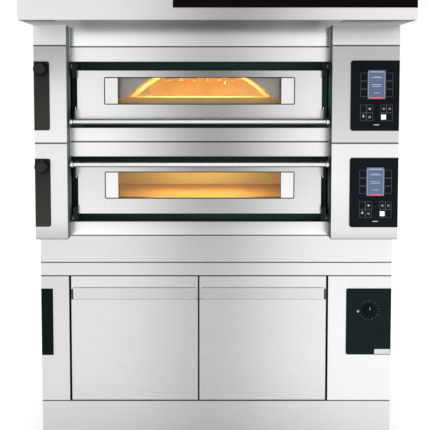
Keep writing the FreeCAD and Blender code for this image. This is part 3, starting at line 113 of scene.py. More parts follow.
class Finish:
    """A procedural material with one Principled shader."""

    def __init__(self, name, **sockets):
        self.material = bpy.data.materials.new(name)
        self.material.use_nodes = True
        self.tree = self.material.node_tree
        self.tree.nodes.clear()
        self.shader = self.node("ShaderNodeBsdfPrincipled", {}, {
            key.replace("_", " ").title().replace("Ior", "IOR"): value for key, value in sockets.items()})
        self.node("ShaderNodeOutputMaterial", {}, {"Surface": self.shader.outputs[0]})

    def node(self, kind, settings=None, inputs=None):
        """Add a node; its settings are made first, then its sockets' values or links."""
        made = self.tree.nodes.new(kind)
        for name, value in (settings or {}).items():
            if name == "stops":
                while len(made.color_ramp.elements) < len(value):
                    made.color_ramp.elements.new(0.5)
                for element, (position, colour) in zip(made.color_ramp.elements, value):
                    element.position = position
                    element.color = colour
            else:
                setattr(made, name, value)
        for name, value in (inputs or {}).items():
            self.feed(made.inputs[name], value)
        return made

    def feed(self, socket, value):
        if isinstance(value, Signal):
            self.tree.links.new(value.socket, socket)
        elif isinstance(value, bpy.types.NodeSocket):
            self.tree.links.new(value, socket)
        else:
            socket.default_value = value

    def set(self, name, value):
        self.feed(self.shader.inputs[name], value)
        return self

    def place(self):
        """Positions in metres in the object's own frame."""
        return self.node("ShaderNodeTexCoord").outputs["Object"]

    def axis(self, number):
        parts = self.node("ShaderNodeSeparateXYZ", {}, {0: self.place()})
        return Signal(self, parts.outputs[number])

    def stretched(self, x, y, z):
        scaled = self.node("ShaderNodeVectorMath", {"operation": "MULTIPLY"}, {0: self.place(), 1: (x, y, z)})
        return scaled.outputs[0]

    def noise(self, vector, scale=1.0, detail=3.0, rough=0.5):
        made = self.node("ShaderNodeTexNoise", {}, {
            "Vector": vector, "Scale": scale, "Detail": detail, "Roughness": rough})
        return Signal(self, made.outputs[0])

    def mix(self, factor, first, second):
        made = self.node("ShaderNodeMix", {"data_type": "RGBA"}, {0: factor, 6: first, 7: second})
        return made.outputs[2]

    def ramp(self, value, *stops):
        made = self.node("ShaderNodeValToRGB", {"stops": stops}, {0: value})
        return made.outputs[0]

    def curve(self, power):
        """e to a power."""
        return self.node_value("POWER", math.e, power)

    def node_value(self, operation, *values):
        made = self.node("ShaderNodeMath", {"operation": operation}, dict(enumerate(values)))
        return Signal(self, made.outputs[0])

    def tinted(self, value, tint):
        """A grey signal times a colour."""
        made = self.node("ShaderNodeVectorMath", {"operation": "SCALE"}, {0: tint, "Scale": value})
        return made.outputs[0]

    def bump(self, height, strength, distance):
        made = self.node("ShaderNodeBump", {}, {"Height": height, "Strength": strength, "Distance": distance})
        return self.set("Normal", made.outputs[0])


def grey(level):
    return (level, level, level, 1.0)


def painted_light_steel(name, rows, centre=-0.04, width=0.34, slope=0.0, rough=0.3, seams=(), tint=(1.0, 1.0, 1.0),
                streak=(1.5, 1.5, 420.0)):
    """Brushed sheet with painted light: its tone and the soft painted reflection shade down its middle change
    with height, in steps of rows.
    """
    steel = Finish(name, metallic=1.0)
    x, z = steel.axis(0), steel.axis(2)
    levels = steel.ramp(z / TALL, *[(height / TALL, (tone, painted_dip, 0.0, 1.0)) for height, tone, painted_dip in rows])
    parts = steel.node("ShaderNodeSeparateColor", {}, {0: levels})
    tone, painted_dip = Signal(steel, parts.outputs[0]), Signal(steel, parts.outputs[1])
    across = (x - centre) / width
    shade = steel.curve(across * across * -1.0)
    lines = steel.noise(steel.stretched(*streak), 1.0, 4.0, 0.7)
    clouds = steel.noise(steel.place(), 2.2, 3.0, 0.55)
    # The tone by height, the slope across X and the middle dip are painted light and shade.
    value = tone * (x * slope + 1.0) * (painted_dip * shade * -1.0 + 1.0) * (lines * 0.07 + clouds * 0.03 + 0.95)
    for seam, reach in seams:
        value = value * (abs(z - seam) / reach - 0.55).clamped().most(0.1)
    steel.set("Base Color", steel.tinted(value, tint))
    steel.set("Roughness", (lines * 0.08 + clouds * 0.06 + (rough - 0.06)).clamped())
    steel.bump(lines, 0.1, 0.0004)
    return steel.material


def brushed_steel(name, tone, tint=(1.0, 1.0, 1.0), rough=0.3, streak=(1.5, 1.5, 420.0), seams=()):
    """Stainless sheet of one tone, with fine brush lines and faint handling marks."""
    return painted_light_steel(name, ((0.0, tone, 0.0), (TALL, tone, 0.0)), rough=rough, tint=tint, streak=streak,
                       seams=seams)


def recess_metal(name, axis, stops, fade=None):
    """Shaded steel inside a recess: its colour runs along one axis, and may fade out along X."""
    metal = Finish(name, metallic=0.0, specular_ior_level=0.15)
    low, high = stops[0][0], stops[-1][0]
    run = (metal.axis(axis) - low) / (high - low)
    colour = metal.ramp(run, *[((at - low) / (high - low), (*tone, 1.0)) for at, tone in stops])
    if fade:
        start, end = fade
        faded = ((metal.axis(0) - start) / (end - start)).clamped()
        colour = metal.mix(faded, colour, (0.022, 0.052, 0.046, 1.0))
    scuffs = metal.noise(metal.stretched(3.0, 60.0, 60.0), 1.0, 3.0)
    metal.set("Base Color", metal.mix(scuffs * 0.3, colour, (0.01, 0.02, 0.02, 1.0)))
    metal.set("Roughness", (scuffs * 0.15 + 0.42).clamped())
    return metal.material


def satin_metal(name, colour, rough, grain=900.0):
    """Smooth metal with a little uneven polish."""
    metal = Finish(name, metallic=1.0)
    speckle = metal.noise(metal.place(), grain, 2.0)
    clouds = metal.noise(metal.place(), 9.0, 3.0)
    metal.set("Base Color", metal.mix(clouds, (*[c * 0.88 for c in colour], 1.0), (*colour, 1.0)))
    metal.set("Roughness", (clouds * 0.12 + speckle * 0.06 + rough - 0.09).clamped())
    metal.bump(speckle, 0.05, 0.0003)
    return metal.material


def moulded(name, colour, rough, grain=1400.0, coat=0.0):
    """Moulded or painted surface with a fine orange-peel grain."""
    plastic = Finish(name, metallic=0.0, coat_weight=coat, coat_roughness=0.08, specular_ior_level=0.04)
    peel = plastic.noise(plastic.place(), grain, 2.0)
    clouds = plastic.noise(plastic.place(), 14.0, 3.0)
    plastic.set("Base Color", plastic.mix(clouds, (*[c * 0.8 for c in colour], 1.0),
                                          (*[c * 1.15 for c in colour], 1.0)))
    plastic.set("Roughness", (rough - 0.05 + clouds * 0.1).clamped())
    plastic.bump(peel, 0.15, 0.0003)
    return plastic.material


def black_glass(name, colour):
    """Back-painted black glass with faint smears."""
    glass = Finish(name, metallic=0.0, specular_ior_level=0.025)
    smears = glass.noise(glass.stretched(6.0, 6.0, 2.0), 2.0, 4.0)
    glass.set("Base Color", glass.mix(smears, (*[c * 0.8 for c in colour], 1.0),
                                      (*[c * 1.5 for c in colour], 1.0)))
    glass.set("Roughness", (smears * 0.1 + 0.1).clamped())
    return glass.material


def graded_plate(name, top, foot):
    """A dark satin plate that grows lighter towards its foot."""
    plate = Finish(name, metallic=0.0, specular_ior_level=0.08)
    rise = plate.axis(2)
    above_foot = rise - (BASE["lower"] + PLATE_LIFT)
    step = rise.join("MODULO", above_foot, BASE["upper"] - BASE["lower"]) / PLATE_HEIGHT
    grain = plate.noise(plate.place(), 900.0, 2.0)
    plate.set("Base Color", plate.mix(step.clamped(), (*foot, 1.0), (*top, 1.0)))
    plate.set("Roughness", (grain * 0.1 + 0.4).clamped())
    plate.bump(grain, 0.08, 0.0002)
    return plate.material


def painted_highlight_bar(name, centres, reach):
    """A polished bar with painted light and shade running round it: a painted highlight above its middle,
    painted shade along its foot.
    """
    bar = Finish(name, metallic=1.0)
    z = bar.axis(2)
    near = (z - centres[0]) / reach
    far = (z - centres[1]) / reach
    middle = sum(centres) / 2
    run = near.most(-1.0).least(1.0) * z.below(middle) + far.most(-1.0).least(1.0) * z.above(middle)
    tone = bar.ramp(run * 0.5 + 0.5, (0.0, grey(0.02)), (0.12, grey(0.10)), (0.28, grey(0.50)),
                    (0.5, grey(0.86)), (0.72, grey(0.95)), (0.86, grey(0.62)), (0.95, grey(0.10)),
                    (1.0, grey(0.04)))
    polish = bar.noise(bar.stretched(300.0, 4.0, 4.0), 1.0, 2.0)
    bar.set("Base Color", bar.mix(polish * 0.12, tone, grey(0.4)))
    bar.set("Roughness", (polish * 0.08 + 0.22).clamped())
    return bar.material


def clear_glass(name):
    """Door glass, nearly clear, with a breath of grease haze."""
    glass = Finish(name, roughness=0.03, metallic=0.0)
    haze = glass.noise(glass.place(), 5.0, 4.0)
    glass.set("Base Color", glass.mix(haze, (0.5, 0.42, 0.3, 1.0), (0.75, 0.66, 0.5, 1.0)))
    glass.set("Alpha", (haze * 0.05 + 0.03).clamped())
    return glass.material


def firebrick(name, light, dark, pore=140.0):
    """Refractory stone: sandy blotches, pores and a few darker baking marks."""
    stone = Finish(name, metallic=0.0)
    blotch = stone.noise(stone.place(), 7.0, 5.0, 0.6)
    pores = stone.noise(stone.place(), pore, 3.0, 0.7)
    marks = (stone.noise(stone.stretched(1.0, 1.0, 1.0), 3.1, 4.0, 0.6) - 0.56) * 5.0
    base = stone.mix(blotch, (*dark, 1.0), (*light, 1.0))
    stone.set("Base Color", stone.mix((marks.clamped() * 0.35 + pores * 0.15).clamped(), base,
                                      (*[c * 0.45 for c in dark], 1.0)))
    stone.set("Roughness", (0.8 + pores * 0.2).clamped())
    stone.bump(pores + blotch, 0.35, 0.002)
    return stone.material


def glowing(name, colour, strength, rim):
    """A lit glass, brightest at its centre's uneven frosting."""
    lamp = Finish(name, roughness=0.2, emission_strength=strength)
    frost = lamp.noise(lamp.place(), 60.0, 3.0)
    lamp.set("Base Color", lamp.mix(frost, (*rim, 1.0), (*colour, 1.0)))
    lamp.set("Emission Color", lamp.mix(frost, (*rim, 1.0), (*colour, 1.0)))
    return lamp.material


def painted_lamplight_ledge(name, top, left, right):
    """A plate painted as lamp-lit stone, with painted lamplight and an emission glow though it is no lamp:
    brightest along its lower edge, and painted dark as shade beyond its two sides.
    """
    ledge = Finish(name, roughness=0.8, emission_strength=0.55)
    drop = ((ledge.axis(2) - top) / -LEDGE_DEPTH).clamped()
    tone = ledge.ramp(drop, (0.0, (0.50, 0.26, 0.06, 1.0)), (0.25, (0.72, 0.46, 0.15, 1.0)),
                      (1.0, (0.86, 0.68, 0.30, 1.0)))
    sand = ledge.noise(ledge.place(), 180.0, 3.0)
    inside = abs(ledge.axis(0) - (left + right) / 2).below((right - left) / 2)
    stone = ledge.mix(sand * 0.25, tone, (0.55, 0.33, 0.10, 1.0))
    colour = ledge.mix(inside, (0.010, 0.030, 0.026, 1.0), stone)
    ledge.set("Base Color", colour)
    ledge.set("Emission Color", colour)
    return ledge.material


def low(node):
    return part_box(node)[0]


def high(node):
    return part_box(node)[1]


# ---------------------------------------------------------------- heights and finishes

PLATE_LIFT, PLATE_HEIGHT = 0.052, 0.283
LEDGE_DEPTH = 0.02
HEARTH_LIGHT = 1.548
FASCIA_LIFT = 0.604
GRIP_LINE, GRIP_TOP = 0.6742, 0.718
BAR_RADIUS = 0.013
DOORS_MIDDLE, DOORS_REACH = -0.075, 0.555
BASE = {deck: low(f"{deck}_casing")[2] for deck in DECKS}
HEARTH_LINE = low("upper_door_glass")[2] + 0.012
OPEN_LEFT, OPEN_RIGHT = low("lower_front_frame")[0], high("lower_front_frame")[0]
FRONT = low("lower_left_pillar")[1]
PANEL, MOUTH = low("lower_front_frame")[1], high("lower_front_frame")[1] - 0.002
REAR = high("lower_casing")[1]
PLINTH_TOP, HOOD_BASE, HOOD = high("plinth")[2], low("hood_base")[2], low("hood_shell")[2]
DOOR_TOP, FASCIA = high("left_cabinet_door")[2], low("cabinet_front")[2] + FASCIA_LIFT

SEAMS = ((PLINTH_TOP, 0.0022), (DOOR_TOP + 0.001, 0.0024), (FASCIA, 0.0022), (BASE["lower"], 0.0022),
         (BASE["upper"], 0.0030), (HOOD_BASE, 0.0026))
# The front sheet's tone and middle dip by height are painted reflection and painted shade.
SHEET = painted_light_steel("front_sheet_painted_reflection", (
    (0.0, 0.90, 0.46), (0.96, 0.92, 0.47), (1.01, 0.78, 0.49), (1.10, 0.78, 0.50), (1.25, 0.72, 0.58),
    (1.29, 0.90, 0.63), (1.349, 0.90, 0.63), (1.351, 0.92, 0.61), (1.405, 0.90, 0.61), (1.45, 0.88, 0.59),
    (1.54, 0.88, 0.63), (1.645, 0.84, 0.76), (1.69, 0.91, 0.46), (1.749, 0.92, 0.44)),
    centre=-0.01, width=0.32, slope=0.04, rough=0.24, seams=SEAMS)
# The hood foot's middle dip is a painted reflection dip.
HOOD_FOOT = painted_light_steel("brushed_hood_foot", ((0.0, 1.0, 0.42), (TALL, 1.0, 0.42)), 0.0, 0.32, slope=0.02,
                        rough=0.15, seams=SEAMS)
# The cabinet sheet's tone, slope and middle dip are painted reflection and shade; its darker grip band is
# painted shade and the dark line at GRIP_LINE is a painted shadow under the grip's lip.
CABINET_SHEET = painted_light_steel("brushed_cabinet_sheet", (
    (0.0, 0.55, 0.24), (0.20, 0.585, 0.26), (0.30, 0.62, 0.33), (0.55, 0.63, 0.35), (GRIP_LINE, 0.65, 0.36),
    (GRIP_LINE + 0.0004, 0.615, 0.37), (0.7185, 0.62, 0.37), (0.719, 0.67, 0.36), (0.77, 0.68, 0.37),
    (0.86, 0.69, 0.39), (0.95, 0.70, 0.41)), centre=-0.02, width=0.31, slope=0.12, rough=0.26,
    seams=SEAMS + ((GRIP_LINE, 0.0015),))
# The pillars' tones by height are painted light and shade.
LEFT_PILLAR = painted_light_steel("brushed_left_pillar", (
    (0.0, 0.50, 0.0), (0.951, 0.46, 0.0), (0.985, 0.56, 0.0), (1.03, 0.70, 0.0), (1.30, 0.76, 0.0),
    (1.349, 0.72, 0.0), (1.351, 0.80, 0.0), (1.55, 0.74, 0.0), (1.70, 0.47, 0.0), (1.748, 0.42, 0.0),
    (1.752, 0.72, 0.0), (1.83, 0.76, 0.0)), seams=SEAMS)
RIGHT_PILLAR = painted_light_steel("brushed_right_pillar", (
    (0.0, 0.70, 0.0), (0.951, 0.56, 0.0), (0.99, 0.69, 0.0), (1.20, 0.80, 0.0), (1.349, 0.80, 0.0),
    (1.351, 0.66, 0.0), (1.45, 0.60, 0.0), (1.65, 0.50, 0.0), (1.748, 0.48, 0.0), (1.752, 0.78, 0.0),
    (1.80, 0.66, 0.0), (1.83, 0.48, 0.0)), seams=SEAMS)
# The fascia's middle dip is a painted reflection dip.
HOOD_FACE = painted_light_steel("brushed_hood_fascia", ((0.0, 0.78, 0.5), (TALL, 0.78, 0.5)), 0.06, 0.3,
                        slope=0.03)
STEEL = brushed_steel("brushed_steel_sheet", 0.50, seams=SEAMS)
STEEL_UPRIGHT = brushed_steel("brushed_steel_upright", 0.30, (1.0, 0.97, 0.92), 0.38, (420.0, 420.0, 1.5))
STEEL_SHADED = brushed_steel("shaded_steel", 0.38, (0.98, 1.0, 1.0), 0.4)
# The chamber steel's amber tint is painted lamplight glow.
STEEL_AMBER_GLOW = brushed_steel("painted_amber_glow_steel", 0.95, (1.0, 0.93, 0.46), 0.45)
BLOCK_STEEL = brushed_steel("frosted_block", 0.82, (1.0, 0.995, 0.98), 0.45, (300.0, 300.0, 2.0))
# The cheeks are painted shade deepening into the recess, with a painted light band just in front of the
# panel.
LEFT_CHEEK = recess_metal("shaded_left_cheek", 1, (
    (FRONT, (0.17, 0.21, 0.22)), (FRONT + 0.03, (0.12, 0.15, 0.155)), (PANEL - 0.04, (0.06, 0.085, 0.09)),
    (PANEL - 0.02, (0.18, 0.21, 0.215)), (PANEL - 0.004, (0.44, 0.47, 0.48)),
    (PANEL + 0.002, (0.02, 0.03, 0.03)), (MOUTH, (0.004, 0.008, 0.008))))
RIGHT_CHEEK = recess_metal("shaded_right_cheek", 1, (
    (FRONT, (0.006, 0.022, 0.018)), (FRONT + 0.05, (0.010, 0.030, 0.027)),
    (PANEL - 0.022, (0.06, 0.085, 0.085)), (PANEL - 0.004, (0.26, 0.29, 0.29)),
    (PANEL + 0.002, (0.02, 0.03, 0.03)), (MOUTH, (0.004, 0.008, 0.008))))
SHELF = recess_metal("shaded_shelf", 1, (
    (PANEL, (0.42, 0.41, 0.33)), (PANEL + 0.022, (0.26, 0.26, 0.21)), (PANEL + 0.032, (0.024, 0.060, 0.053)),
    (MOUTH, (0.010, 0.032, 0.028))), (OPEN_LEFT + 0.1, OPEN_LEFT + 0.85))
# The hearth lip is painted lamplight with a glow, on the plate under the upper mouth.
HEARTH_LIP = painted_lamplight_ledge("painted_lamplight_hearth_lip", HEARTH_LINE + 0.01, low("upper_door_glass")[0],
                       high("upper_door_glass")[0])
FLANGE = recess_metal("shaded_flange", 1, (
    (low("hood_shell")[1], (0.05, 0.07, 0.07)), (FRONT - 0.12, (0.30, 0.32, 0.31)),
    (FRONT, (0.46, 0.46, 0.42)), (REAR, (0.4, 0.4, 0.38))))
INTAKE = recess_metal("pale_intake", 1, ((low("hood_shell")[1], (0.62, 0.63, 0.63)), (REAR, (0.5, 0.5, 0.5))))
# Faces in the gaps, such as returns, the lining's front and the hinge pins, are painted dark as shade.
GAP = recess_metal("painted_gap_shade", 1, ((PANEL, (0.006, 0.009, 0.0085)), (PANEL + 0.06, (0.004, 0.005, 0.005))))
# The handle bar's highlight and shade are painted by height.
HANDLE = painted_highlight_bar("polished_handle_bar", (high("lower_door_handle")[2] - BAR_RADIUS,
                                           low("upper_door_handle")[2] + BAR_RADIUS), 0.011)
CABINET_LEFT = brushed_steel("brushed_cabinet_left", 0.58, (1.0, 0.99, 0.97), seams=SEAMS)
CABINET_RIGHT = brushed_steel("brushed_cabinet_right", 0.74, (0.99, 0.985, 1.0), seams=SEAMS)
BRIGHT = satin_metal("polished_steel", (0.86, 0.87, 0.88), 0.2)
ALUMINIUM = satin_metal("satin_aluminium", (0.66, 0.67, 0.69), 0.38)
ZINC = satin_metal("zinc_plate", (0.55, 0.56, 0.58), 0.34)
# The element tubes are given an amber colour close to the chamber round them.
TUBE = satin_metal("amber_element_tube", (0.86, 0.64, 0.34), 0.5)
SPRING = satin_metal("oiled_spring_wire", (0.4, 0.41, 0.43), 0.3)
BLACK_GLASS = black_glass("black_panel_glass", (0.005, 0.0072, 0.0095))
SIGN_GLASS = black_glass("black_sign_glass", (0.0022, 0.0012, 0.0018))
DOOR_GLASS = clear_glass("oven_door_glass")
DECK_PLATE = graded_plate("dark_bronze_plate", (0.018, 0.021, 0.018), (0.034, 0.032, 0.027))
CABINET_PLATE = moulded("dark_green_black_plate", (0.0025, 0.0065, 0.006), 0.38)
DIAL_PLATE = moulded("dark_blue_black_plate", (0.007, 0.013, 0.0145), 0.38)
KNOB_BLACK = moulded("knob_black", (0.0035, 0.006, 0.007), 0.3)
MOULDED_BLACK = moulded("moulded_black", (0.03, 0.03, 0.032), 0.55)
# The grip-end blocks are painted shade standing for the shaded open ends of the grip.
GRIP_END_SHADE = moulded("painted_grip_end_shade", (0.07, 0.06, 0.055), 0.5)
RUBBER = moulded("black_rubber", (0.02, 0.02, 0.02), 0.75)
SEAL = moulded("dark_silicone_seal", (0.02, 0.025, 0.024), 0.6)
BOARD = moulded("green_circuit_board", (0.02, 0.16, 0.06), 0.45)
PALE = moulded("pale_print", (0.62, 0.63, 0.62), 0.5)
DIM_PRINT = moulded("grey_key_outline", (0.11, 0.11, 0.11), 0.5)
TICK_PRINT = moulded("grey_tick_print", (0.26, 0.28, 0.28), 0.5)
STONE = firebrick("hearth_stone", (0.90, 0.56, 0.19), (0.72, 0.40, 0.11))
VAULT = firebrick("vault_stone", (0.88, 0.84, 0.60), (0.74, 0.66, 0.42))
WOOL = firebrick("mineral_wool", (0.75, 0.66, 0.42), (0.6, 0.5, 0.3), 320.0)
LAMP = glowing("oven_lamp_glass", (0.36, 0.34, 0.2), 0.5, (0.26, 0.24, 0.13))
SCREEN = glowing("lit_blue_screen", (0.050, 0.080, 0.135), 0.8, (0.042, 0.068, 0.115))
SCREEN_MARK = glowing("lit_screen_mark", (0.42, 0.47, 0.52), 0.9, (0.34, 0.4, 0.46))
SCREEN_RED = glowing("lit_red_bar", (0.42, 0.062, 0.065), 0.8, (0.36, 0.05, 0.055))
KEY_LIT = glowing("lit_white_key", (0.9, 0.92, 0.92), 0.9, (0.8, 0.82, 0.82))
PILOT = moulded("pilot_lens_clear", (0.42, 0.43, 0.42), 0.2, coat=0.5)

FINISH_OF_SLOT = {
    "brushed_steel": STEEL, "bright_steel": BRIGHT, "filter_aluminium": ALUMINIUM,
    "duct_aluminium": ALUMINIUM, "heater_tube": TUBE, "spring_steel": SPRING,
    "door_glass": DOOR_GLASS, "black_glass": BLACK_GLASS, "display_blue": SCREEN,
    "dark_plate": DECK_PLATE, "black_knob": KNOB_BLACK, "fan_plastic": MOULDED_BLACK,
    "circuit_board": BOARD, "firebrick": STONE, "mineral_wool": WOOL, "lamp_glass": LAMP,
    "pilot_lens": PILOT, "gland_nylon": MOULDED_BLACK, "rubber_pad": RUBBER,
}


# ---------------------------------------------------------------- painting the carried-over nodes

def coat(item, material):
    """Give every face of an object one material."""
    item.data.materials.clear()
    item.data.materials.append(material)


def paint(node, rule):
    """Give each face of a carried-over node the material that a rule picks by its middle and normal."""
    item = NODES[node]
    item.data.materials.clear()
    slots = {}
    for face in item.data.polygons:
        material = rule(face.center, face.normal)
        if material.name not in slots:
            slots[material.name] = len(slots)
            item.data.materials.append(material)
        face.material_index = slots[material.name]


def faces_front(normal):
    return normal.y < -0.7


def paint_pillars():
    """Pillars by side, their fronts with painted light and shade by height; their cheeks beside the doors are
    painted in shade.
    """
    for deck in DECKS:
        for side, inner, steel in (("left", OPEN_LEFT, LEFT_PILLAR), ("right", OPEN_RIGHT, RIGHT_PILLAR)):
            cheek = LEFT_CHEEK if side == "left" else RIGHT_CHEEK
            paint(f"{deck}_{side}_pillar", lambda at, normal, inner=inner, steel=steel, cheek=cheek: (
                cheek if abs(normal.x) > 0.7 and abs(at.x - inner) < 0.004 else
                steel if faces_front(normal) and at.y < FRONT + 0.001 else STEEL))


def paint_recess():
    """The sheet above and below each door with its painted reflection, the door's other faces in painted
    shade, and the painted shade of the recess behind it.
    """
    for deck in DECKS:
        paint(f"{deck}_front_frame", recess_finish)
        paint(f"{deck}_door_skin", lambda at, normal: SHEET if faces_front(normal) else STEEL_SHADED)
        paint(f"{deck}_door_handle", handle_finish)
        coat(NODES[f"{deck}_door_hinges"], SEAL)
        coat(NODES[f"{deck}_window_blocks"], BLOCK_STEEL)
    coat(NODES["door_hinge_brackets"], SEAL)


def recess_finish(at, normal):
    """Bright sheet in front with painted reflection; the plate under the upper mouth is painted as lamp-lit
    stone, and the rest is painted shade.
    """
    if not faces_front(normal):
        return SHELF
    if at.y < PANEL + 0.001:
        return SHEET
    return HEARTH_LIP if at.y > PANEL + 0.02 and abs(at.z - HEARTH_LINE) < 0.03 else SHELF


def handle_finish(at, normal):
    """The bar has a painted highlight and painted shade, its caps are polished and its arms are painted in
    shade.
    """
    if at.y > low("upper_door_handle")[1] + 0.027:
        return STEEL_SHADED
    inside = OPEN_LEFT + 0.018 < at.x < OPEN_RIGHT - 0.018
    return HANDLE if inside else BRIGHT


def front_finish(at):
    """The panels beside the cabinet doors are plain; the doors and rails share the sheet with painted
    reflection and shade.
    """
    if abs(at.x - DOORS_MIDDLE) > DOORS_REACH and PLINTH_TOP < at.z < DOOR_TOP:
        return CABINET_LEFT if at.x < DOORS_MIDDLE else CABINET_RIGHT
    return CABINET_SHEET


def paint_cabinet():
    """The cabinet's front and doors, their inner faces and its gaps in painted shade, and its dark plates."""
    for node in ("cabinet_front", "left_cabinet_door", "right_cabinet_door", "plinth"):
        inner = GAP if node == "cabinet_front" else STEEL_SHADED
        paint(node, lambda at, normal, inner=inner: (
            front_finish(at) if faces_front(normal) and at.y < PANEL + 0.001 else inner))
    paint("left_cover_plates", lambda at, normal: CABINET_PLATE if at.z < BASE["lower"] else DECK_PLATE)
    coat(NODES["thermostat_plate"], DIAL_PLATE)
    coat(NODES["cabinet_hinge_pins"], GAP)


def foot_finish(at, normal):
    """The hood's foot carries on the pillars, with a recessed sheet between them that has a painted
    reflection dip; its cheeks are painted in shade.
    """
    if abs(normal.x) > 0.7 and abs(at.x) < 0.63:
        return LEFT_CHEEK if at.x < 0 else RIGHT_CHEEK
    if not faces_front(normal):
        return STEEL
    if at.y > FRONT + 0.05:
        return HOOD_FOOT
    return LEFT_PILLAR if at.x < 0 else RIGHT_PILLAR


def hood_finish(at, normal):
    """The hood's fascia with its painted reflection dip, its underside in painted shade and the walls of its
    intake.
    """
    edge = low("hood_shell")[1]
    if faces_front(normal) and at.y < edge + 0.001:
        return HOOD_FACE
    if normal.z < -0.7 and at.z < HOOD + 0.001 and at.y > edge + 0.01:
        return FLANGE
    inside = OPEN_LEFT - 0.003 < at.x < OPEN_RIGHT + 0.003 and at.z < HOOD + 0.08
    return INTAKE if inside else STEEL


def paint_hood():
    paint("hood_base", foot_finish)
    paint("hood_shell", hood_finish)
    coat(NODES["sign_plate"], SIGN_GLASS)


def paint_chambers():
    paint("upper_dome", lambda at, normal: (
        STEEL_UPRIGHT if faces_front(normal) and at.y < low("upper_dome")[1] + 0.001 else VAULT))
    # The chambers' steel carries the painted amber lamplight.
    coat(NODES["chambers"], STEEL_AMBER_GLOW)
    # The lining's front face is painted dark as shade.
    paint("cabinet_lining", lambda at, normal: GAP if at.y < low("cabinet_lining")[1] + 0.003 else STEEL)


def finish_nodes():
    """Give each carried-over node the finish of its slot, or one of its own."""
    for part in frame["record"]["subparts"]:
        coat(NODES[part["node"]], FINISH_OF_SLOT[part["material_slot"]])
    coat(NODES["exhaust_ducts"], ZINC)
    paint_pillars()
    paint_recess()
    paint_cabinet()
    paint_hood()
    paint_chambers()


# ---------------------------------------------------------------- shapes

class Shape:
    """Faces gathered for one extra piece."""

    def __init__(self):
        self.mesh = bmesh.new()

    def block(self, near, far, chamfer=0.0):
        """A box between two corners, with chamfered edges."""
        size = Vector(far) - Vector(near)
        middle = (Vector(far) + Vector(near)) / 2
        made = bmesh.ops.create_cube(self.mesh, size=1.0, matrix=Matrix.Translation(middle) @ Matrix.Diagonal(
            (*size, 1.0)))
        if chamfer:
            edges = {edge for vert in made["verts"] for edge in vert.link_edges}
            bmesh.ops.bevel(self.mesh, geom=list(edges), offset=chamfer, segments=2, affect="EDGES",
                            profile=0.6)
        return self

    def strip(self, rows, smooth=True, closed=True):
        """Rows of points joined into bands; each row has the same count."""
        made = [[self.mesh.verts.new(point) for point in row] for row in rows]
        for one, two in zip(made, made[1:]):
            for n in range(len(one) if closed else len(one) - 1):
                after = (n + 1) % len(one)
                face = self.mesh.faces.new((one[n], one[after], two[after], two[n]))
                face.smooth = smooth
        return made

    def turned(self, at, axis, profile, steps=48, flutes=0, depth=0.0):
        """A profile of (radius, along) pairs turned round an axis through a point; flutes groove its rim."""
        spin = {"x": Vector((1, 0, 0)), "y": Vector((0, 1, 0)), "z": Vector((0, 0, 1))}[axis]
        turn = spin.to_track_quat("Z", "Y")
        rows = []
        for radius, along, *grooved in profile:
            row = []
            for n in range(steps):
                angle = 2 * math.pi * n / steps
                reach = radius - (depth * max(0.0, math.cos(flutes * angle)) ** 4 if grooved else 0.0)
                out = Vector((reach * math.cos(angle), reach * math.sin(angle), along))
                row.append(Vector(at) + turn @ out)
            rows.append(row)
        made = self.strip(rows)
        for row in (made[0], made[-1]):
            self.mesh.faces.new(row)
        return self

    def frame(self, near, far, corner, wide, depth):
        """An upright rounded-rectangle ring in the XZ plane, from near's Y back by depth."""
        def outline(inset, y):
            points = []
            round_by = max(corner - inset, 0.0002)
            for x, z, start in ((far[0], far[2], 0), (near[0], far[2], 90), (near[0], near[2], 180),
                                (far[0], near[2], 270)):
                cx = x - math.copysign(inset + round_by, x - (near[0] + far[0]) / 2)
                cz = z - math.copysign(inset + round_by, z - (near[2] + far[2]) / 2)
                for step in range(6):
                    angle = math.radians(start + 18 * step)
                    points.append((cx + round_by * math.cos(angle), y, cz + round_by * math.sin(angle)))
            return points
        y = near[1]
        back = y + depth
        self.strip([outline(wide, back), outline(wide, y), outline(0.0, y), outline(0.0, back)], False)
        return self

    def washer(self, at, inner, outer, thick, steps=64):
        """A flat ring on a level face."""
        turns = [2 * math.pi * n / steps for n in range(steps)]
        profile = ((inner, 0.0), (outer, 0.0), (outer, thick), (inner, thick), (inner, 0.0))
        self.strip([[Vector(at) + Vector((radius * math.cos(turn), radius * math.sin(turn), along))
                     for turn in turns] for radius, along in profile], False)
        return self

    def made(self, name, material, body="oven", slot=None, replaces=()):
        """Turn the faces into an object that rides on a body."""
        bmesh.ops.recalc_face_normals(self.mesh, faces=self.mesh.faces)
        data = bpy.data.meshes.new(name)
        self.mesh.to_mesh(data)
        self.mesh.free()
        item = bpy.data.objects.new(name, data)
        bpy.context.scene.collection.objects.link(item)
        coat(item, material)
        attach(item, body)
        if replaces:
            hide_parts(*replaces)
        return item


# ---------------------------------------------------------------- oven doors

def window_trim(deck):
    """Dark gaskets round a door's window and beside its end blocks."""
    blocks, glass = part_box(f"{deck}_window_blocks"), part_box(f"{deck}_door_glass")
    gasket = Shape()
    gasket.frame((blocks[0][0] - 0.0042, PANEL - 0.0008, glass[0][2] - 0.003),
                 (blocks[1][0] + 0.0042, PANEL, glass[1][2] + 0.003), 0.0065, 0.0036, 0.004)
    for x in (glass[0][0], glass[1][0]):
        gasket.block((x - 0.0014, PANEL - 0.0004, glass[0][2]), (x + 0.0014, PANEL + 0.004, glass[1][2]))
    gasket.made(f"{deck}_window_gasket", SEAL, f"{deck}_door", "gland_nylon")


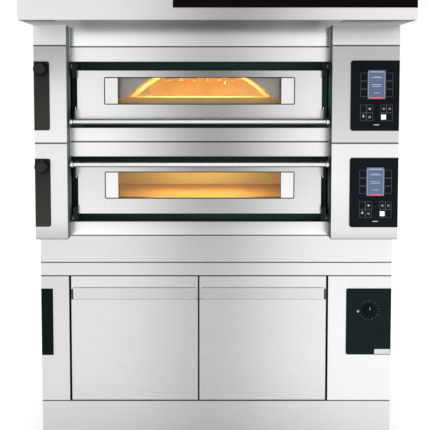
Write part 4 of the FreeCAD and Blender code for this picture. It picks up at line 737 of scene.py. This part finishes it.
def handle_rings(deck):
    """Grooved rings at the handle's ends and the pale strips of its brackets."""
    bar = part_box(f"{deck}_door_handle")
    y = bar[0][1] + BAR_RADIUS
    z = bar[0][2] + BAR_RADIUS if deck == "upper" else bar[1][2] - BAR_RADIUS
    rings = Shape()
    for x in (bar[0][0] + 0.012, bar[1][0] - 0.0145):
        rings.turned((x, y, z), "x", ((0.0112, 0.0), (0.0136, 0.0003), (0.0136, 0.0022), (0.0112, 0.0025)))
    rings.made(f"{deck}_handle_rings", SEAL, f"{deck}_door", "gland_nylon")
    strips = Shape()
    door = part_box(f"{deck}_door_skin")
    reach = (z + 0.016, z + 0.06) if deck == "upper" else (z - 0.06, z - 0.016)
    for x in (door[0][0] - 0.0075, door[1][0] + 0.0045):
        strips.block((x, PANEL - 0.012, reach[0]), (x + 0.003, PANEL + 0.004, reach[1]), 0.0006)
    strips.made(f"{deck}_bracket_strips", BRIGHT, f"{deck}_door", "bright_steel")


def door_back(deck):
    """The door's inner plate round the window and its seal."""
    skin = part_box(f"{deck}_door_skin")
    glass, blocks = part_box(f"{deck}_door_glass"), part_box(f"{deck}_window_blocks")
    y = skin[1][1]
    plate = Shape()
    left, right = skin[0][0] + 0.004, skin[1][0] - 0.004
    bottom, top = skin[0][2] + 0.004, skin[1][2] - 0.004
    sill, lintel = glass[0][2] - 0.003, glass[1][2] + 0.003
    for near, far in (((left, bottom), (right, sill)), ((left, lintel), (right, top)),
                      ((left, sill), (blocks[0][0] - 0.003, lintel)),
                      ((blocks[1][0] + 0.003, sill), (right, lintel))):
        plate.block((near[0], y - 0.004, near[1]), (far[0], y - 0.001, far[1]))
    # The inner plate carries the painted amber lamplight of the chamber.
    plate.made(f"{deck}_door_inner_plate", STEEL_AMBER_GLOW, f"{deck}_door", "brushed_steel")
    seal = Shape().frame((left + 0.02, y - 0.001, bottom + 0.016), (right - 0.02, y, top - 0.016),
                         0.012, 0.008, 0.0035)
    seal.made(f"{deck}_door_seal", SEAL, f"{deck}_door", "gland_nylon")


def pivot_bosses(deck):
    """Small bright pivot covers where the door meets the pillars."""
    bosses = Shape()
    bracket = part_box("door_hinge_brackets")
    z = bracket[1][2] - 0.016 if deck == "upper" else bracket[0][2] + 0.016
    y = bracket[0][1] + 0.016
    for x, step in ((OPEN_LEFT + 0.0102, 1), (OPEN_RIGHT - 0.0102, -1)):
        ends = sorted((x, x + step * 0.0015))
        bosses.block((ends[0], y - 0.014, z - 0.006), (ends[1], y + 0.014, z + 0.006), 0.0005)
    bosses.made(f"{deck}_pivot_covers", BRIGHT, "oven", "bright_steel")


def grip_ends():
    """Dark blocks of painted shade where the finger band of each cabinet door stops, standing for the shaded
    open ends of the grip.
    """
    for side, end, body in (("left", 0, "left_cabinet_leaf"), ("right", 1, "right_cabinet_leaf")):
        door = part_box(f"{side}_cabinet_door")
        x = door[end][0] + (0.0015 if end == 0 else -0.0095)
        Shape().block((x, door[0][1], GRIP_LINE + 0.001), (x + 0.008, door[0][1] + 0.001, GRIP_TOP)).made(
            f"{side}_grip_end", GRIP_END_SHADE, body, "brushed_steel")


# ---------------------------------------------------------------- controls

def steam_knob(deck):
    """A round knob with a grooved rim, a stepped collar and a dished face."""
    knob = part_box(f"{deck}_steam_knob")
    x, z = (knob[0][0] + knob[1][0]) / 2, (knob[0][2] + knob[1][2]) / 2
    front, rear, reach = knob[0][1], knob[1][1], (knob[1][0] - knob[0][0]) / 2
    rim, deep = reach * 0.86, rear - front
    profile = ((0.006, deep), (reach * 0.99, deep), (reach, deep - 0.002), (reach, deep - 0.007),
               (rim, deep - 0.009), (rim, deep - 0.011, 1), (rim, 0.004, 1), (rim * 0.96, 0.001),
               (rim * 0.86, 0.0), (rim * 0.80, 0.0012), (rim * 0.3, 0.002), (0.0005, 0.002))
    Shape().turned((x, front, z), "y", profile, 96, 16, 0.0016).made(
        f"{deck}_steam_knob_turned", KNOB_BLACK, f"{deck}_steam_valve", "black_knob", [f"{deck}_steam_knob"])
    near, far = rim * 0.865, rim * 0.885
    ring = Shape().turned((x, front, z), "y",
                          ((near, 0.0002), (far, 0.0002), (far, 0.0006), (near, 0.0006)), 64)
    ring.made(f"{deck}_steam_knob_ring", DECK_PLATE, f"{deck}_steam_valve", "dark_plate")


def thermostat():
    """The thermostat knob with a pointer line, ticks round it and a blank label below."""
    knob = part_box("thermostat_knob")
    plate = low("thermostat_plate")[1]
    front, reach = knob[0][1], (knob[1][0] - knob[0][0]) / 2
    x, z = (knob[0][0] + knob[1][0]) / 2, (knob[0][2] + knob[1][2]) / 2
    deep = plate - 0.001 - front
    profile = ((0.004, deep), (reach, deep), (reach, deep - 0.003), (reach * 0.8, deep - 0.006),
               (reach * 0.74, deep - 0.007, 1), (reach * 0.7, 0.003, 1), (reach * 0.64, 0.0006),
               (0.0005, 0.0002))
    Shape().turned((x, front, z), "y", profile, 96, 20, 0.0012).made(
        "thermostat_knob_turned", KNOB_BLACK, "thermostat_dial", "black_knob", ["thermostat_knob"])
    Shape().block((x - 0.0008, front + 0.0001, z + 0.006), (x + 0.0008, front + 0.0008, z + 0.018)).made(
        "thermostat_pointer", PALE, "thermostat_dial", "bright_steel")
    ticks = Shape()
    ring = 0.0395
    for n in range(15):
        angle = math.radians(130 - 20 * n)
        long = 0.006 if n % 2 == 0 else 0.0035
        out = ring + long / 2
        middle = Vector((x + out * math.cos(angle), plate - 0.0002, z + out * math.sin(angle)))
        bmesh.ops.create_cube(ticks.mesh, size=1.0, matrix=Matrix.Translation(middle) @ Matrix.Rotation(
            -angle, 4, "Y") @ Matrix.Diagonal((long, 0.0004, 0.0009, 1.0)))
    ticks.made("thermostat_ticks", TICK_PRINT, "oven", "bright_steel")
    edge, foot = high("thermostat_plate")[0], low("thermostat_plate")[2]
    Shape().block((edge - 0.07, plate - 0.0004, foot + 0.003), (edge - 0.002, plate, foot + 0.024)).made(
        "blank_label", PALE, "oven", "bright_steel")


def panel_marks(deck):
    """Outlined touch keys, one lit, and the plain marks of the display."""
    base, face = BASE[deck], low("control_panels")[1]
    print_depth, corner = 0.0003, 0.0015
    y = face - print_depth
    keys = Shape()
    menu_rows = (0.191, 0.2225, 0.256, 0.290)
    menu_columns = ((0.590, 0.6195), (0.6925, 0.723))
    pad_rows = ((0.0925, 0.125), (0.126, 0.1585))
    pad_columns = ((0.590, 0.642), (0.673, 0.723))
    for near, far in zip(menu_rows, menu_rows[1:]):
        for left, right in menu_columns:
            keys.frame((left, y, base + near + 0.001), (right, face, base + far - 0.001),
                       corner, 0.0011, print_depth)
    for left, right in pad_columns:
        for near, far in pad_rows:
            middle = (left + right) / 2
            keys.frame((left, y, base + near), (middle, face, base + far), corner, 0.0010, print_depth)
            keys.frame((middle, y, base + near), (right, face, base + far), corner, 0.0010, print_depth)
    keys.made(f"{deck}_key_outlines", DIM_PRINT, "oven", "black_glass")
    icons = Shape()
    half = 0.0045
    for x, z in ((0.629, 0.142), (0.603, 0.111), (0.686, 0.142), (0.711, 0.142), (0.629, 0.108)):
        icons.frame((x - half, y, base + z - half), (x + half, face, base + z + half),
                    half, 0.0012, print_depth)
    icons.block((0.6275, y, base + 0.137), (0.6305, face, base + 0.147))
    icons.block((0.601, y, base + 0.107), (0.604, face, base + 0.118))
    icons.block((0.646, y, base + 0.0745), (0.668, face, base + 0.0775))
    icons.made(f"{deck}_key_icons", PALE, "oven", "bright_steel")
    Shape().block((0.6765, y, base + 0.0985), (0.6945, face, base + 0.1175)).made(
        f"{deck}_lit_key", KEY_LIT, "oven", "lamp_glass")
    display_marks(deck, base, y)


def display_marks(deck, base, y):
    """Plain bars on the display and a red bar along its foot."""
    left, right = low("displays")[0], high("displays")[0]
    foot, head = base + 0.182, base + 0.300
    bars = Shape()
    for z, wide in ((0.272, 0.012), (0.268, 0.022), (0.240, 0.018), (0.233, 0.016), (0.206, 0.012)):
        for shift in (-0.001, 0.001):
            middle = (left + right) / 2 + shift
            bars.block((middle - wide, y, base + z), (middle + wide, y + 0.0002, base + z + 0.0017))
    for n in range(16):
        z = foot + 0.004 + n * 0.007
        for x in (left + 0.0015, right - 0.004):
            bars.block((x, y, z), (x + 0.0025, y + 0.0002, z + 0.002))
    bars.block((left + 0.008, y, head - 0.008), (right - 0.008, y + 0.0002, head - 0.006))
    bars.made(f"{deck}_display_marks", SCREEN_MARK, "oven", "display_blue")
    Shape().block((left + 0.010, y, foot + 0.001), (right - 0.009, y + 0.0002, foot + 0.008)).made(
        f"{deck}_display_red_bar", SCREEN_RED, "oven", "pilot_lens")


# ---------------------------------------------------------------- body details

def screw_heads(name, spots, normal, radius=0.0045):
    """Domed screw heads that stand on a face; normal is the axis and the side they stand on."""
    axis, side = normal
    heads = Shape()
    for spot in spots:
        heads.turned(spot, axis, (
            (radius, 0.0), (radius * 0.96, side * 0.0008), (radius * 0.7, side * 0.0016),
            (radius * 0.25, side * 0.0019), (radius * 0.24, side * 0.0010), (0.0002, side * 0.0010)), 20)
    heads.made(name, BRIGHT, "oven", "bright_steel")


def rear_screws():
    """Screws round the rear sheets of the decks and the cabinet."""
    spots = [(x, z) for deck in DECKS for x in (-0.35, 0.0, 0.35, 0.735)
             for z in (BASE[deck] + 0.03, BASE[deck] + 0.37)]
    spots += [(x, z) for x in (-0.73, -0.35, 0.0, 0.35, 0.73) for z in (0.27, 0.92)]
    screw_heads("rear_screws", [(x, REAR, z) for x, z in spots], ("y", 1))


def fan_guards():
    """Wire rings and spokes over the cooling fans' outlets."""
    for deck in DECKS:
        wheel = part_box(f"{deck}_cooling_fan")
        x, z = (wheel[0][0] + wheel[1][0]) / 2, (wheel[0][2] + wheel[1][2]) / 2
        wires = Shape()
        for reach in (0.018, 0.031, 0.044, 0.057):
            rows = []
            for n in range(64):
                turn = 2 * math.pi * n / 64
                out = Vector((math.cos(turn), 0, math.sin(turn)))
                rows.append([Vector((x, REAR + 0.003, z)) + out * (reach + 0.0012 * math.cos(ring))
                             + Vector((0, 0.0012 * math.sin(ring), 0))
                             for ring in (2 * math.pi * k / 8 for k in range(8))])
            wires.strip(rows + [rows[0]])
        for n in range(4):
            turn = math.radians(45 + 90 * n)
            out = Vector((math.cos(turn), 0, math.sin(turn)))
            middle = Vector((x, REAR + 0.0012, z)) + out * 0.045
            bmesh.ops.create_cube(wires.mesh, size=1.0, matrix=Matrix.Translation(middle) @ Matrix.Rotation(
                -turn, 4, "Y") @ Matrix.Diagonal((0.056, 0.0024, 0.0022, 1.0)))
        wires.made(f"{deck}_fan_guard", BRIGHT, "oven", "bright_steel")


def duct_flanges():
    """Folded joint bands round the exhaust ducts."""
    left, rear = low("exhaust_ducts")[0], high("exhaust_ducts")[1]
    bands = Shape()
    for x, heights in ((left, (1.20, 1.60, 1.79)), (left + 0.274, (1.40, 1.76))):
        for z in heights:
            bands.block((x - 0.0015, rear - 0.049, z), (x + 0.0515, rear + 0.001, z + 0.012), 0.0004)
    bands.made("duct_joint_bands", ALUMINIUM, "oven", "duct_aluminium")


def back_plate():
    """A blank rating plate on the rear and a bead round the outlet collar."""
    Shape().block((0.46, REAR, 1.0), (0.56, REAR + 0.0008, 1.06), 0.0002).made(
        "blank_rating_plate", ALUMINIUM, "oven", "filter_aluminium")
    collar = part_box("hood_collar")
    x, y = (collar[0][0] + collar[1][0]) / 2, (collar[0][1] + collar[1][1]) / 2
    top = high("hood_shell")[2]
    thick, screw_circle = 0.002, 0.165
    Shape().washer((x, y, top), 0.149, 0.178, thick).made(
        "collar_flange", ALUMINIUM, "oven", "duct_aluminium")
    turns = [math.radians(angle) for angle in range(0, 360, 45)]
    spots = [(x + screw_circle * math.cos(turn), y + screw_circle * math.sin(turn), top + thick)
             for turn in turns]
    screw_heads("collar_screws", spots, ("z", 1), 0.004)


# ---------------------------------------------------------------- studio

def studio():
    """A white floor and air, soft lights and the camera."""
    scene = bpy.context.scene
    scene.view_settings.view_transform = "Standard"
    world = bpy.data.worlds.new("studio_air")
    scene.world = world
    world.use_nodes = True
    world.node_tree.nodes["Background"].inputs[0].default_value = grey(1.0)
    world.node_tree.nodes["Background"].inputs[1].default_value = 1.0
    bpy.ops.mesh.primitive_plane_add(size=60.0, location=(0, 0, 0))
    floor = bpy.context.object
    floor.name = "studio_floor"
    ground = Finish("white_floor", roughness=0.7, emission_color=grey(1.0), emission_strength=0.16)
    mottle = ground.noise(ground.place(), 1.5, 3.0)
    ground.set("Base Color", ground.mix(mottle, grey(0.93), grey(0.96)))
    coat(floor, ground.material)
    for name, at, turn, size, watts in (
        ("left_softbox", (-3.6, -3.6, 1.9), (90, 0, -48), (1.8, 3.4), 12),
        ("right_softbox", (3.6, -3.6, 1.9), (90, 0, 48), (1.8, 3.4), 12),
        ("top_softbox", (0, -1.2, 4.6), (0, 0, 0), (3.5, 3.0), 80),
    ):
        lamp = bpy.data.lights.new(name, "AREA")
        lamp.shape = "RECTANGLE"
        lamp.size, lamp.size_y = size
        lamp.energy = watts
        holder = bpy.data.objects.new(name, lamp)
        holder.location = at
        holder.rotation_euler = [math.radians(angle) for angle in turn]
        scene.collection.objects.link(holder)
    eye = bpy.data.cameras.new("camera")
    eye.lens = 73.26
    eye.shift_x, eye.shift_y = 0.0161, -0.16
    nod = 3.898
    camera = bpy.data.objects.new("camera", eye)
    camera.location = (-0.035, -4.05, 1.583)
    camera.rotation_euler = (math.radians(90 - nod), 0, 0)
    scene.collection.objects.link(camera)
    scene.camera = camera


def chamber_lights():
    """Warm light inside both baking chambers: a panel under the roof and one over the hearth."""
    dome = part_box("upper_dome")
    x, y = (dome[0][0] + dome[1][0]) / 2, dome[0][1] + 0.42
    for deck, down, up in (("upper", 3.0, 0.25), ("lower", 0.7, 1.25)):
        drop = BASE["upper"] - BASE[deck]
        for part, watts, z, tilt in (("roof", down, dome[1][2] - 0.02, 0), ("hearth", up, HEARTH_LIGHT, 180)):
            bulb = bpy.data.lights.new(f"{deck}_{part}_light", "AREA")
            bulb.shape = "RECTANGLE"
            bulb.size, bulb.size_y = 0.5, 0.4
            bulb.energy = watts
            bulb.color = (1.0, 0.86, 0.5)
            holder = bpy.data.objects.new(f"{deck}_{part}_light", bulb)
            holder.location = (x, y, z - drop)
            holder.rotation_euler = (math.radians(tilt), 0, 0)
            holder.visible_camera = False
            bpy.context.scene.collection.objects.link(holder)


# ---------------------------------------------------------------- the whole scene

finish_nodes()
for deck in DECKS:
    window_trim(deck)
    handle_rings(deck)
    door_back(deck)
    pivot_bosses(deck)
    steam_knob(deck)
    panel_marks(deck)
thermostat()
grip_ends()
rear_screws()
fan_guards()
duct_flanges()
back_plate()
chamber_lights()
studio()
